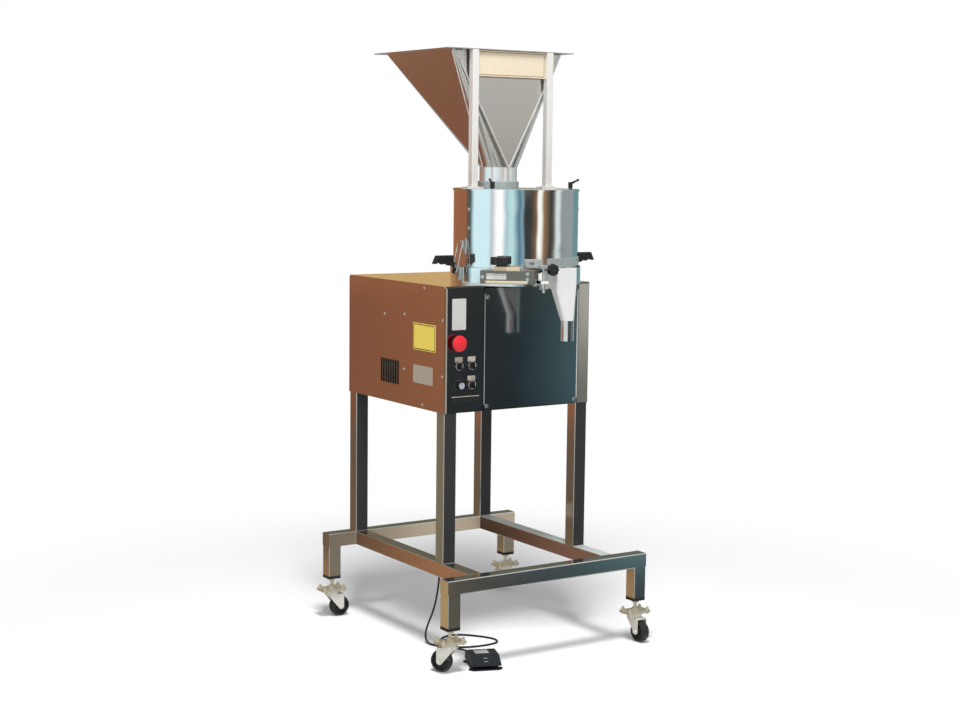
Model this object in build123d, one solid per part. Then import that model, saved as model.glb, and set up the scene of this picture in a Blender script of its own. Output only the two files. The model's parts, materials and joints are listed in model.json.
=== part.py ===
from build123d import *
import math
import os

# Cup filler on a caster stand: a rotary volumetric filler for dry goods.
# Millimetres. X to the right, front towards -Y, Z up; Z = 0 is the floor.
# The origin is on the floor, midway between the front and rear crossbars.

# Stand
TUBE = 50.8
TUBE_WALL = 3.0
TUBE_CORNER = 4.0
STAND_WIDTH = 604.0
BAR_LENGTH = 832.0
BASE_LENGTH = 834.0
RAIL_TOP = 318.0
LEG_BOTTOM = 147.0
CAP_FLANGE = 11.0
CAP_PLUG = 20.0

# Casters
WHEEL_R = 38.1
WHEEL_WIDTH = 31.8
HUB_WIDTH = 36.4
CASTER_TRAIL = 30.0
AXLE_R = 4.0
FORK_SHEET = 2.5
FORK_GAP = 37.0
FORK_TOP = 91.6
FORK_FRONT = -20.0
FORK_BACK = 41.0
PLATE_X = 96.0
PLATE_Y = 64.0
CASTER_PLATE_Z = 100.0
CASTER_PLATE = 3.0
MOUNT_PLATE = 5.0
STEM_R = 6.3
KING_PIN_R = 6.0
CASTER_TURN = {"front_left": 122.0, "front_right": -90.0, "rear_left": -3.0, "rear_right": 90.0}

# Cabinet
SHEET = 2.0
DECK = 6.0
CAB_FRONT = -224.0
CAB_BOTTOM = 841.0
CAB_TOP = 1276.0
CONTROL_RIGHT = -147.0
COVER_LEFT = -144.0
COVER_RIGHT = 256.0
COVER_GAP = 4.0
VENT_COUNT = 8
VENT_PITCH = 17.0
VENT_FIRST = 84.0
VENT_WIDTH = 8.0
VENT_LOW = 906.0
VENT_HIGH = 994.0

# Controls, seen from the front: two columns and three rows
COLUMN_LEFT = -247.0
COLUMN_RIGHT = -195.0
STOP_X = -256.0
ROW_STOP = 1082.0
ROW_SELECT = 1003.0
ROW_LOWER = 937.0
BARREL_R = 11.0
BEZEL = 6.0
SPINDLE_R = 6.0
STOP_R = 28.0
STOP_TRAVEL = 6.0

# Drum
DRUM_X = 45.0
DRUM_Y = -132.0
PAN_R = 229.5
PAN_WALL = 4.0
PAN_FLOOR = 6.0
PAN_TOP = 1336.0
SHELL_R = 219.0
SHELL_WALL = 3.0
LID_R = 222.0
LID = 8.0
LID_TOP = 1605.0
BAND = 4.0
SHAFT_R = 12.5
RUN_FIT = 0.05

# Measuring cups
CUP_COUNT = 6
CUP_PITCH_R = 160.0
CUP_R = 38.0
CUP_WALL = 2.0
CUP_GAP = 0.5
DISCHARGE_ANGLE = -82.3
UPPER_PLATE = 1450.0
LOWER_PLATE = 1338.0
CUP_PLATE = 6.0

# Lid clamps, toggle latches, front clamp
LEVER_ANGLES = {"front_right": -29.5, "front_left": -149.5, "rear": 74.0}
LEVER_TURN = {"front_right": -33.0, "front_left": 77.0, "rear": 52.0}
LEVER_PITCH_R = 191.0
LEVER_ARM = 29.0
LATCH_PIVOT_R = 250.0
LATCH_PIVOT_Z = 1340.0
LATCH_CRANK = 22.0
LATCH_CRANK_ANGLE = -80.0
HOOK_BAR_R = 229.0
HOOK_BAR_Z = 1424.0
HOOK_WIRE_R = 3.0
HOOK_HALF = 14.0
CLAMP_ANGLE = -12.5
CLAMP_R = 262.0

# Volume adjuster on the front left of the pan
ADJUSTER_ANGLE = -38.5
ADJUSTER_X = -32.0
ADJUSTER_Y = -253.0
BRACKET_LEFT = -99.0
BRACKET_RIGHT = 86.0
BRACKET_FRONT = -266.0
BRACKET_LOW = 1287.0
BRACKET_HIGH = 1331.0

# Chute
CHUTE_LEFT = 25.5
CHUTE_RIGHT = 107.5
CHUTE_FRONT = -413.0
CHUTE_BACK = -244.0
CHUTE_HEEL = -378.0
CHUTE_TOP = 1341.0
CHUTE_LOW = 1268.0
CHUTE_SLIDE_TOP = 1306.0
SPOUT_X = 86.0
SPOUT_Y = -392.0
SPOUT_R = 24.0
SPOUT_TOP = 1160.0
SPOUT_BOTTOM = 1090.0
CHUTE_KNOB_X = 2.5
CHUTE_KNOB_Z = 1337.0

# Hopper
RIM = 527.0
RIM_FLANGE = 32.0
RIM_TOP = 2085.0
RIM_Y = 159.0
HOPPER_SHEET = 2.0
NECK_R = 67.0
NECK_Y = -16.0
NECK_TOP = 1678.0
COLLAR_R = 74.0
COLLAR_TOP = 1629.0
POST = 25.4
POST_OFFSET = 157.0
POST_Y = -95.0

# Foot switch and cord
FOOT_X = -253.0
FOOT_Y = -408.0
FOOT_TURN = -21.0
FOOT_WIDTH = 100.0
FOOT_LENGTH = 130.0
PEDAL_PIN_Y = 46.0
PEDAL_PIN_Z = 26.0
FOOT_CORD_X = -14.0
FOOT_CORD_Z = 13.0
CORD_R = 3.5
GLAND_X = -241.0
GLAND_Y = -106.0
GLAND_END = 823.0

# Worked out from the sizes above
CAB_BACK = BASE_LENGTH / 2 + TUBE / 2
POST_CENTRE = STAND_WIDTH / 2 - TUBE / 2
LEG_CENTRE = BAR_LENGTH / 2 - TUBE / 2
DECK_LOW = CAB_TOP - DECK
PANEL_FACE = CAB_FRONT - SHEET
AXIS = Pos(DRUM_X, DRUM_Y, 0)
CRANK_R = LATCH_PIVOT_R + LATCH_CRANK * math.cos(math.radians(LATCH_CRANK_ANGLE))
CRANK_Z = LATCH_PIVOT_Z + LATCH_CRANK * math.sin(math.radians(LATCH_CRANK_ANGLE))
CASTERS = {
    "front_left": (-LEG_CENTRE, -BASE_LENGTH / 2),
    "front_right": (LEG_CENTRE, -BASE_LENGTH / 2),
    "rear_left": (-LEG_CENTRE, BASE_LENGTH / 2),
    "rear_right": (LEG_CENTRE, BASE_LENGTH / 2),
}

# Route of the foot switch cord: down from the cabinet, one loop on the floor, over itself to the switch
CORD_POINTS = [
    (GLAND_X, GLAND_Y, GLAND_END),
    (GLAND_X, GLAND_Y, 726),
    (-240, -103, 628),
    (-239, -104, 528),
    (-240, -108, 428),
    (-240, -109, 332),
    (-240, -104, 246),
    (-243, -93, 172),
    (-250, -80, 113),
    (-262, -66, 68),
    (-272, -64, 38),
    (-278, -75, 14),
    (-279, -98, 4.4),
    (-272, -124, 3.6),
    (-257, -148, 3.6),
    (-235, -173, 3.6),
    (-204, -197, 3.6),
    (-165, -211, 3.6),
    (-122, -217, 3.6),
    (-84, -216, 3.6),
    (-58, -205, 3.6),
    (-46, -182, 3.6),
    (-48, -156, 3.6),
    (-61, -128, 3.6),
    (-82, -98, 3.6),
    (-107, -69, 3.6),
    (-137, -48, 3.6),
    (-170, -45, 3.6),
    (-201, -61, 3.6),
    (-224, -88, 5),
    (-236, -116, 9),
    (-243, -144, 12.2),
    (-247, -177, 12.2),
    (-245, -210, 11.8),
    (-238, -236, 12.2),
    (-231, -262, 13),
]


def block(x0, x1, y0, y1, z0, z1):
    """Box between two corners."""
    return Pos((x0 + x1) / 2, (y0 + y1) / 2, (z0 + z1) / 2) * Box(x1 - x0, y1 - y0, z1 - z0)


def disc(x, y, z0, z1, radius):
    """Upright cylinder between two heights."""
    return Pos(x, y, (z0 + z1) / 2) * Cylinder(radius, z1 - z0)


def disc_y(x, z, y0, y1, radius):
    """Cylinder that lies front to back."""
    return Pos(x, (y0 + y1) / 2, z) * Rot(90, 0, 0) * Cylinder(radius, y1 - y0)


def disc_x(y, z, x0, x1, radius):
    """Cylinder that lies side to side."""
    return Pos((x0 + x1) / 2, y, z) * Rot(0, 90, 0) * Cylinder(radius, x1 - x0)


def around(angle):
    """Place on the drum: local -Y points outwards, turned from the front by the angle."""
    return AXIS * Rot(0, 0, angle)


def polar(angle, radius):
    """Offset from the drum's axis, with the angle counted from +X."""
    turn = math.radians(angle)
    return radius * math.cos(turn), radius * math.sin(turn)


def square_tube(size, wall, corner, length):
    """Square tube with rounded corners, upright, from Z = 0."""
    outer = extrude(RectangleRounded(size, size, corner), length)
    return outer - Pos(0, 0, length / 2) * Box(size - 2 * wall, size - 2 * wall, length)


# Stand

def crossbar(y):
    """Closed bar across the stand with its two leg stubs."""
    bar = Pos(-BAR_LENGTH / 2, y, RAIL_TOP - TUBE / 2) * Rot(0, 90, 0) * extrude(
        RectangleRounded(TUBE, TUBE, TUBE_CORNER), BAR_LENGTH)
    core = TUBE - 2 * TUBE_WALL
    bar -= Pos(0, y, RAIL_TOP - TUBE / 2) * Box(BAR_LENGTH - 2 * TUBE_WALL, core, core)
    low = LEG_BOTTOM + CAP_FLANGE
    wall_top = RAIL_TOP - TUBE + TUBE_WALL
    for side in (-1, 1):
        stub = extrude(RectangleRounded(TUBE - 0.4, TUBE - 0.4, TUBE_CORNER), wall_top - 0.5 - low)
        stub -= Pos(0, 0, (RAIL_TOP - TUBE - low) / 2) * Box(core, core, RAIL_TOP - TUBE - low)
        bar += Pos(side * LEG_CENTRE, y, low) * stub
        weld = Box(TUBE - 2 * TUBE_CORNER, TUBE, TUBE_CORNER + 1) - Box(TUBE, core, TUBE)
        bar += Pos(side * LEG_CENTRE, y, RAIL_TOP - TUBE + (TUBE_CORNER + 1) / 2) * weld
    return bar


def side_rails():
    """Two tubes that join the crossbars."""
    length = BASE_LENGTH - TUBE
    tube = Rot(90, 0, 0) * square_tube(TUBE, TUBE_WALL, TUBE_CORNER, length)
    return [Pos(side * POST_CENTRE, length / 2, RAIL_TOP - TUBE / 2) * tube for side in (-1, 1)]


def posts(y, left_top, right_top):
    """Left and right upright at one depth, from the rail up."""
    uprights = []
    for side, top in ((-1, left_top), (1, right_top)):
        tube = square_tube(TUBE, TUBE_WALL, TUBE_CORNER, top - RAIL_TOP)
        uprights.append(Pos(side * POST_CENTRE, y, RAIL_TOP) * tube)
    return uprights


def leg_caps():
    """Plastic caps that close the leg stubs."""
    core = TUBE - 2 * TUBE_WALL
    caps = []
    for x, y in CASTERS.values():
        cap = extrude(RectangleRounded(TUBE, TUBE, TUBE_CORNER), CAP_FLANGE)
        cap += Pos(0, 0, CAP_FLANGE + CAP_PLUG / 2) * Box(core - 0.4, core - 0.4, CAP_PLUG)
        cap -= Pos(0, 0, CAP_PLUG / 2) * Cylinder(STEM_R + RUN_FIT, 2 * CAP_PLUG)
        caps.append(Pos(x, y, LEG_BOTTOM) * cap)
    return caps


# Casters

def caster_stems():
    """Threaded stems with a nut, welded to the plates that the casters bolt to."""
    low = CASTER_PLATE_Z + CASTER_PLATE
    stems = []
    for x, y in CASTERS.values():
        stem = Pos(0, 0, low) * extrude(RectangleRounded(PLATE_X, PLATE_Y, 5), MOUNT_PLATE)
        stem += Pos(0, 0, low + MOUNT_PLATE) * extrude(RegularPolygon(12.5, 6), 11)
        stem += Pos(0, 0, LEG_BOTTOM - 10) * extrude(RegularPolygon(12.5, 6), 8)
        stem += disc(0, 0, low, LEG_BOTTOM + 16, STEM_R)
        stems.append(Pos(x, y, 0) * stem)
    return stems


def caster_plates():
    """Caster top plates with the upper raceway and the king pin."""
    plates = []
    for x, y in CASTERS.values():
        plate = Pos(0, 0, CASTER_PLATE_Z) * extrude(RectangleRounded(PLATE_X, PLATE_Y, 5), CASTER_PLATE)
        plate += Pos(0, 0, FORK_TOP + 0.4) * extrude(Circle(26), CASTER_PLATE_Z - FORK_TOP - 0.4, taper=-12)
        plate += disc(0, 0, FORK_TOP - 11, CASTER_PLATE_Z, KING_PIN_R)
        plate += disc(0, 0, FORK_TOP - 13.5, FORK_TOP - 10.5, 9)
        plates.append(Pos(x, y, 0) * plate)
    return plates


def fork_place(corner):
    """Place of a caster: its swivel axis, turned to where the wheel trails."""
    x, y = CASTERS[corner]
    return Pos(x, y, 0) * Rot(0, 0, CASTER_TURN[corner])


def fork(corner):
    """Swivel fork pressed from sheet, and the axle bolt as a second solid."""
    crown = Pos((FORK_FRONT + FORK_BACK) / 2, FORK_TOP - 8) * Rectangle(FORK_BACK - FORK_FRONT, 4)
    outline = Pos(CASTER_TRAIL, WHEEL_R) * Circle(FORK_BACK - CASTER_TRAIL) + crown
    profile = make_hull(outline.edges())
    half = FORK_GAP / 2
    yoke = Pos(0, half + FORK_SHEET, 0) * extrude(Plane.XZ * profile, FORK_SHEET)
    yoke += Pos(0, -half, 0) * extrude(Plane.XZ * profile, FORK_SHEET)
    yoke += block(FORK_FRONT, FORK_BACK, -half, half, FORK_TOP - 10, FORK_TOP - 6)
    yoke += disc(0, 0, FORK_TOP - 10, FORK_TOP, 23)
    yoke -= disc(0, 0, 0, 200, KING_PIN_R + RUN_FIT)
    end = half + FORK_SHEET
    yoke -= disc_y(CASTER_TRAIL, WHEEL_R, -end, end, AXLE_R)
    axle = disc_y(CASTER_TRAIL, WHEEL_R, -end - 7, end + 5, AXLE_R)
    axle += disc_y(CASTER_TRAIL, WHEEL_R, end, end + 5, 7)
    nut = Rot(90, 0, 0) * extrude(RegularPolygon(8, 6), 6)
    axle += Pos(CASTER_TRAIL, -end, WHEEL_R) * nut
    return [fork_place(corner) * yoke, fork_place(corner) * axle]


def wheel(corner):
    """Hard wheel with a crowned tread, a dished web and a plain bore."""
    half = WHEEL_WIDTH / 2
    with BuildSketch(Plane.XZ) as section:
        with BuildLine():
            Polyline((AXLE_R + RUN_FIT, -HUB_WIDTH / 2), (11, -HUB_WIDTH / 2), (13, -9), (25, -9),
                     (28, -half), (33, -half))
            ThreePointArc((33, -half), (WHEEL_R, 0), (33, half))
            Polyline((33, half), (28, half), (25, 9), (13, 9), (11, HUB_WIDTH / 2),
                     (AXLE_R + RUN_FIT, HUB_WIDTH / 2), (AXLE_R + RUN_FIT, -HUB_WIDTH / 2))
        make_face()
    solid = revolve(section.sketch, Axis.Z)
    return fork_place(corner) * Pos(CASTER_TRAIL, 0, WHEEL_R) * Rot(90, 0, 0) * solid


# Cabinet

def side_panel(side):
    """Side sheet with a return at the bottom edge and a bank of vent slots."""
    half = STAND_WIDTH / 2
    panel = block(half, half + SHEET, CAB_FRONT, CAB_BACK, CAB_BOTTOM, DECK_LOW)
    panel += block(half - 15, half, CAB_FRONT + TUBE, CAB_BACK - TUBE, CAB_BOTTOM, CAB_BOTTOM + SHEET)
    for i in range(VENT_COUNT):
        y = VENT_FIRST + i * VENT_PITCH
        slot = Plane.YZ * SlotOverall(VENT_HIGH - VENT_LOW, VENT_WIDTH, rotation=90)
        panel -= Pos(half, y, (VENT_LOW + VENT_HIGH) / 2) * extrude(slot, 10, both=True)
    return panel if side > 0 else mirror(panel, about=Plane.YZ)


def rear_panel():
    """Plain back sheet."""
    half = STAND_WIDTH / 2 + SHEET
    return block(-half, half, CAB_BACK, CAB_BACK + SHEET, CAB_BOTTOM, DECK_LOW)


def bottom_panel():
    """Floor of the cabinet, notched for three posts, with the cable gland's hole."""
    inner = POST_CENTRE - TUBE / 2
    low = CAB_BOTTOM
    high = CAB_BOTTOM + SHEET
    half = STAND_WIDTH / 2 - 15
    panel = block(-half, half, CAB_FRONT + TUBE, CAB_BACK - TUBE, low, high)
    panel += block(-inner, inner, CAB_FRONT, CAB_BACK, low, high)
    panel += block(-STAND_WIDTH / 2, -inner, CAB_FRONT, CAB_FRONT + TUBE, low, high)
    return panel - disc(GLAND_X, GLAND_Y, low - 1, high + 1, 8)


def deck():
    """Top plate of the cabinet, with the opening for the drive."""
    half = STAND_WIDTH / 2 + SHEET
    plate = block(-half, half, PANEL_FACE, CAB_BACK + SHEET, DECK_LOW, CAB_TOP)
    plate = fillet(plate.edges().filter_by(Axis.Z), 4)
    return plate - disc(DRUM_X, DRUM_Y, DECK_LOW - 1, CAB_TOP + 1, 32)


def control_panel():
    """Left front sheet with a fold on its right and holes for the operators."""
    left = -STAND_WIDTH / 2 - SHEET
    panel = block(left, CONTROL_RIGHT, PANEL_FACE, CAB_FRONT, CAB_BOTTOM, DECK_LOW)
    low = CAB_BOTTOM + SHEET
    panel += block(CONTROL_RIGHT - SHEET, CONTROL_RIGHT, CAB_FRONT, CAB_FRONT + 28, low, DECK_LOW)
    for x, z, radius in operator_places():
        panel -= disc_y(x, z, PANEL_FACE - 1, CAB_FRONT + 1, radius)
    return panel


def front_cover():
    """Removable right front sheet, folded inwards along its left and lower edges."""
    low = CAB_BOTTOM + COVER_GAP
    high = DECK_LOW - COVER_GAP
    cover = block(COVER_LEFT, COVER_RIGHT, PANEL_FACE, CAB_FRONT, low, high)
    cover += block(COVER_LEFT, COVER_LEFT + SHEET, CAB_FRONT, CAB_FRONT + 22, low, high)
    inner = POST_CENTRE - TUBE / 2 - 2
    return cover + block(COVER_LEFT, inner, CAB_FRONT, CAB_FRONT + 22, low, low + SHEET)


# Controls

def operator_places():
    """Hole centres and radii of the stop button, the three selectors and the dial."""
    return [
        (STOP_X, ROW_STOP, BARREL_R),
        (COLUMN_LEFT, ROW_SELECT, BARREL_R),
        (COLUMN_RIGHT, ROW_SELECT, BARREL_R),
        (COLUMN_RIGHT, ROW_LOWER, BARREL_R),
        (COLUMN_LEFT, ROW_LOWER, 5.0),
    ]


def operator_bodies():
    """Bezel, barrel and contact block of each operator, and the dial's potentiometer."""
    bodies = []
    for x, z, radius in operator_places():
        if radius < BARREL_R:
            body = disc_y(x, z, PANEL_FACE - 3, CAB_FRONT + 4, radius)
            body += disc_y(x, z, CAB_FRONT + 4, CAB_FRONT + 22, 12)
            body -= disc_y(x, z, PANEL_FACE - 4, CAB_FRONT + 4, 3 + RUN_FIT)
        else:
            bezel = 20 if z == ROW_STOP else 15
            body = disc_y(x, z, PANEL_FACE - BEZEL, PANEL_FACE, bezel)
            body += disc_y(x, z, PANEL_FACE, CAB_FRONT + 32, radius)
            body += block(x - 12, x + 12, CAB_FRONT + 32, CAB_FRONT + 70, z - 20, z + 20)
            body -= disc_y(x, z, PANEL_FACE - BEZEL - 1, CAB_FRONT + 32, SPINDLE_R + RUN_FIT)
        bodies.append(body)
    return bodies


def stop_button():
    """Mushroom head on its spindle; it travels into the panel."""
    under = BEZEL + STOP_TRAVEL + 2
    edge = STOP_R - 3
    dome_r = (edge ** 2 + 6 ** 2) / 12
    shoulder = under + 16 - dome_r + math.sqrt(dome_r ** 2 - edge ** 2 / 4)
    with BuildSketch(Plane.XZ) as section:
        with BuildLine():
            Polyline((0, -20), (SPINDLE_R, -20), (SPINDLE_R, under), (14, under), (STOP_R - 2, under + 3))
            ThreePointArc((STOP_R - 2, under + 3), (STOP_R, under + 6), (edge, under + 10))
            ThreePointArc((edge, under + 10), (edge / 2, shoulder), (0, under + 16))
            Line((0, under + 16), (0, -20))
        make_face()
    return Pos(STOP_X, PANEL_FACE, ROW_STOP) * Rot(90, 0, 0) * revolve(section.sketch, Axis.Z)


def selector(x, z):
    """Selector knob: round skirt with a tapered finger bar."""
    knob = disc_y(x, z, PANEL_FACE - 14, PANEL_FACE - BEZEL - 0.4, 12.5)
    knob += disc_y(x, z, PANEL_FACE - 14, PANEL_FACE + 18, SPINDLE_R)
    bar = extrude(SlotOverall(25, 9, rotation=90), 13, taper=6)
    return knob + Pos(x, PANEL_FACE - 14, z) * Rot(90, 0, 0) * bar


def dial_knob():
    """Ribbed dial knob on the potentiometer's spindle."""
    x, z = COLUMN_LEFT, ROW_LOWER
    knob = disc_y(x, z, PANEL_FACE - 22, PANEL_FACE - 4, 12)
    for i in range(10):
        turn = math.radians(36 * i)
        rib = disc_y(x + 12 * math.cos(turn), z + 12 * math.sin(turn), PANEL_FACE - 18, PANEL_FACE - 4, 1.6)
        knob += rib
    return knob + disc_y(x, z, PANEL_FACE - 5, CAB_FRONT + 2, 3)


# Drive

def gearbox():
    """Hollow-bore worm gearbox bolted up under the deck."""
    body = fillet((AXIS * Pos(0, 0, 1175) * Box(116, 116, 110)).edges(), 8)
    body += disc(DRUM_X, DRUM_Y, 1225, DECK_LOW - 12, 46)
    body += AXIS * Pos(0, 0, DECK_LOW - 6) * Box(128, 128, 12)
    body += disc_y(DRUM_X, 1160, DRUM_Y + 50, DRUM_Y + 76, 55)
    return body - disc(DRUM_X, DRUM_Y, 1100, CAB_TOP, SHAFT_R + RUN_FIT)


def motor():
    """Flanged motor behind the gearbox, with cooling fins, fan cover and terminal box."""
    y = DRUM_Y + 76
    body = disc_y(DRUM_X, 1160, y, y + 10, 70)
    body += disc_y(DRUM_X, 1160, y + 10, y + 160, 58)
    for i in range(9):
        fin = 22 + 15 * i
        body += disc_y(DRUM_X, 1160, y + fin, y + fin + 4, 64)
    body += disc_y(DRUM_X, 1160, y + 160, y + 215, 66)
    return body + block(DRUM_X - 40, DRUM_X + 40, y + 45, y + 125, 1210, 1258)


def rotor_shaft():
    """Upright shaft with the hub that carries the upper cup plate."""
    shaft = disc(DRUM_X, DRUM_Y, 1126, UPPER_PLATE + 24, SHAFT_R)
    shaft += disc(DRUM_X, DRUM_Y, UPPER_PLATE - 22, UPPER_PLATE, 42)
    return shaft + disc(DRUM_X, DRUM_Y, UPPER_PLATE + CUP_PLATE, UPPER_PLATE + CUP_PLATE + 10, 24)


def shaft_bearing():
    """Four-bolt flange bearing on the pan's floor."""
    low = CAB_TOP + PAN_FLOOR
    bearing = AXIS * Pos(0, 0, low) * extrude(RectangleRounded(92, 92, 14), 12)
    bearing += AXIS * Pos(0, 0, low + 12) * extrude(Circle(34), 16, taper=8)
    return bearing - disc(DRUM_X, DRUM_Y, low - 1, low + 40, SHAFT_R + RUN_FIT)


# Drum

def drum_pan():
    """Lower pan: floor, wall, lift window, chute opening and clamp lug."""
    pan = disc(DRUM_X, DRUM_Y, CAB_TOP, PAN_TOP, PAN_R)
    pan -= disc(DRUM_X, DRUM_Y, CAB_TOP + PAN_FLOOR, PAN_TOP + 1, PAN_R - PAN_WALL)
    pan -= disc(DRUM_X, DRUM_Y, CAB_TOP - 1, PAN_TOP, 30)
    pan -= around(ADJUSTER_ANGLE) * block(ADJUSTER_X - 17, ADJUSTER_X + 17, -280, -200, 1291, 1321)
    lug = block(-14, 14, -CLAMP_R - 10, -PAN_R + 6, 1288, 1298)
    lug -= disc(0, 0, 1276, 1340, PAN_R - PAN_WALL)
    pan += around(CLAMP_ANGLE) * lug
    pan -= around(CLAMP_ANGLE) * disc(0, -CLAMP_R, 1280, 1300, 5.5)
    return pan - chute_form(0)


def drum_shell():
    """Upper shell with the front band, slotted block, clamp stud, knob boss and lid studs."""
    low = PAN_TOP
    high = LID_TOP - LID
    shell = disc(DRUM_X, DRUM_Y, low, high, SHELL_R)
    shell -= disc(DRUM_X, DRUM_Y, low - 1, high + 1, SHELL_R - SHELL_WALL)
    core = disc(0, 0, low - 1, high + 1, SHELL_R - 1)
    band = disc(0, 0, low + 4, low + 34, SHELL_R + BAND) - core
    sector = Pos(0, 0, low) * extrude(make_face(Polyline((0, 0), (-31, -400), (500, -325), (0, 0))), 60)
    shell += AXIS * (band & sector)
    slotted = block(-29, 29, -SHELL_R - 24, -SHELL_R + 10, low + 5, low + 32)
    slotted -= Pos(-8, -SHELL_R, low + 20) * Rot(90, 0, 0) * extrude(SlotOverall(18, 8), 40)
    shell += around(-19) * (slotted - core)
    lug = block(-12, 22, -CLAMP_R - 9, -SHELL_R + 4, low + 3, low + 13) - core
    lug += disc(0, -CLAMP_R, 1257, low + 13, 5)
    shell += around(CLAMP_ANGLE) * lug
    ear_back = CHUTE_FRONT + 10.5
    shell += disc_y(CHUTE_KNOB_X, CHUTE_KNOB_Z, ear_back, -378, 9)
    shell -= disc_y(CHUTE_KNOB_X, CHUTE_KNOB_Z, ear_back - 1, ear_back + 12, 4 + RUN_FIT)
    for angle in LEVER_ANGLES.values():
        x, y = polar(angle, LEVER_PITCH_R)
        tab = Pos(*polar(angle, LEVER_PITCH_R + 12), high - 10) * Rot(0, 0, angle) * Box(36, 22, 20)
        tab &= disc(0, 0, low, high, SHELL_R - 1)
        shell += AXIS * (tab + disc(x, y, high - 20, LID_TOP + 15, 4))
    return shell


def drum_lid():
    """Flat lid with the feed opening and three stud holes."""
    low = LID_TOP - LID
    lid = disc(DRUM_X, DRUM_Y, low, LID_TOP, LID_R)
    lid = chamfer(lid.edges().group_by(Axis.Z)[-1], 1.5)
    lid -= disc(DRUM_X, NECK_Y, low - 1, LID_TOP + 1, NECK_R + 0.3)
    for angle in LEVER_ANGLES.values():
        x, y = polar(angle, LEVER_PITCH_R)
        lid -= disc(DRUM_X + x, DRUM_Y + y, low - 1, LID_TOP + 1, 4.3)
    return lid


def cup_ring(radius, z0, z1):
    """One upright cylinder at each measuring cup."""
    ring = []
    for i in range(CUP_COUNT):
        x, y = polar(DISCHARGE_ANGLE + 360 * i / CUP_COUNT, CUP_PITCH_R)
        ring.append(disc(DRUM_X + x, DRUM_Y + y, z0, z1, radius))
    return ring


def upper_cups():
    """Turning plate with the upper half of each telescoping cup."""
    high = UPPER_PLATE + CUP_PLATE
    plate = disc(DRUM_X, DRUM_Y, UPPER_PLATE, high, 208)
    plate += cup_ring(CUP_R + CUP_WALL, UPPER_PLATE - 65, UPPER_PLATE)
    plate -= cup_ring(CUP_R, UPPER_PLATE - 66, high + 1)
    return plate - disc(DRUM_X, DRUM_Y, UPPER_PLATE - 1, high + 1, SHAFT_R)


def lower_cups():
    """Plate with the lower halves, which slides up and down the shaft."""
    bore = CUP_R + CUP_WALL + CUP_GAP
    high = LOWER_PLATE + CUP_PLATE
    plate = disc(DRUM_X, DRUM_Y, LOWER_PLATE, high, 206)
    plate += cup_ring(bore + CUP_WALL, LOWER_PLATE, LOWER_PLATE + 86)
    plate += disc(DRUM_X, DRUM_Y, LOWER_PLATE, LOWER_PLATE + 40, 30)
    plate -= cup_ring(bore, LOWER_PLATE - 1, LOWER_PLATE + 87)
    return plate - disc(DRUM_X, DRUM_Y, LOWER_PLATE - 1, LOWER_PLATE + 41, SHAFT_R + RUN_FIT)


def discharge_plate():
    """Plate that closes the cups from below, with the drop hole and the lift arm."""
    high = LOWER_PLATE - 0.5
    plate = disc(DRUM_X, DRUM_Y, high - 10, high, 206)
    plate -= disc(DRUM_X, DRUM_Y, high - 11, high + 1, 34)
    x, y = polar(DISCHARGE_ANGLE, CUP_PITCH_R)
    plate -= disc(DRUM_X + x, DRUM_Y + y, high - 11, high + 1, CUP_R)
    arm = block(ADJUSTER_X - 13, ADJUSTER_X + 13, BRACKET_FRONT + 4, -180, 1301, 1311)
    arm += block(ADJUSTER_X - 13, ADJUSTER_X + 13, -200, -180, 1301, high - 5)
    arm -= disc(ADJUSTER_X, ADJUSTER_Y, 1300, 1312, 6 + RUN_FIT)
    return plate + around(ADJUSTER_ANGLE) * arm


def levelling_blade():
    """Fixed blade that strikes the cups off level, hung from the lid by two rods."""
    low = UPPER_PLATE + CUP_PLATE + 1
    blade = block(-203, -70, -2, 2, low, low + 26)
    for x in (-185, -95):
        blade += disc(x, 0, low + 20, LID_TOP - LID, 5)
    return AXIS * blade


def lid_lever(corner):
    """Clamp lever: hub on a lid stud and a rising, tapering arm with a ball end."""
    x, y = polar(LEVER_ANGLES[corner], LEVER_PITCH_R)
    lever = Pos(0, 0, 4) * extrude(Circle(8), 20) + extrude(Circle(6.5), 4)
    lean = Pos(0, 0, 18) * Rot(0, 63, 0)
    lever += lean * Cone(4.5, 3, LEVER_ARM, align=(Align.CENTER, Align.CENTER, Align.MIN))
    lever += lean * Pos(0, 0, LEVER_ARM) * Sphere(4.5)
    lever -= Cylinder(4 + RUN_FIT, 36)
    return Pos(DRUM_X + x, DRUM_Y + y, LID_TOP + 0.3) * Rot(0, 0, LEVER_TURN[corner]) * lever


# Toggle latches on the two sides of the drum

def to_side(shape, side):
    """Carry a latch piece, drawn with X as radius on the right, to its side of the drum."""
    placed = shape if side > 0 else mirror(shape, about=Plane.YZ)
    return AXIS * placed


def latch_base(side):
    """Base on the pan wall with two ears and the pivot pin."""
    base = block(226, 233.5, -17, 17, 1281, PAN_TOP - 1) - disc(0, 0, 1270, 1340, PAN_R)
    ear = make_face(Polyline((232, 1290), (237, 1290), (243, 1331), (257, 1333), (257, 1347),
                             (243, 1347), (232, PAN_TOP - 1), (232, 1290)))
    for y in (-5, 8):
        base += Pos(0, y, 0) * extrude(Plane.XZ * ear, 3)
    return to_side(base + disc_y(LATCH_PIVOT_R, LATCH_PIVOT_Z, -8, 8, 3), side)


def latch_keeper(side):
    """Catch on the shell with a groove on top for the hook's bar."""
    keeper = block(214, 222.5, -16, 16, 1380, 1434)
    keeper += block(222, HOOK_BAR_R + 6.5, -9, 9, 1400, HOOK_BAR_Z + 0.5)
    keeper -= disc(0, 0, 1300, 1500, SHELL_R)
    groove = HOOK_WIRE_R + 1
    return to_side(keeper - disc_y(HOOK_BAR_R, HOOK_BAR_Z + 0.95, -20, 20, groove), side)


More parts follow.
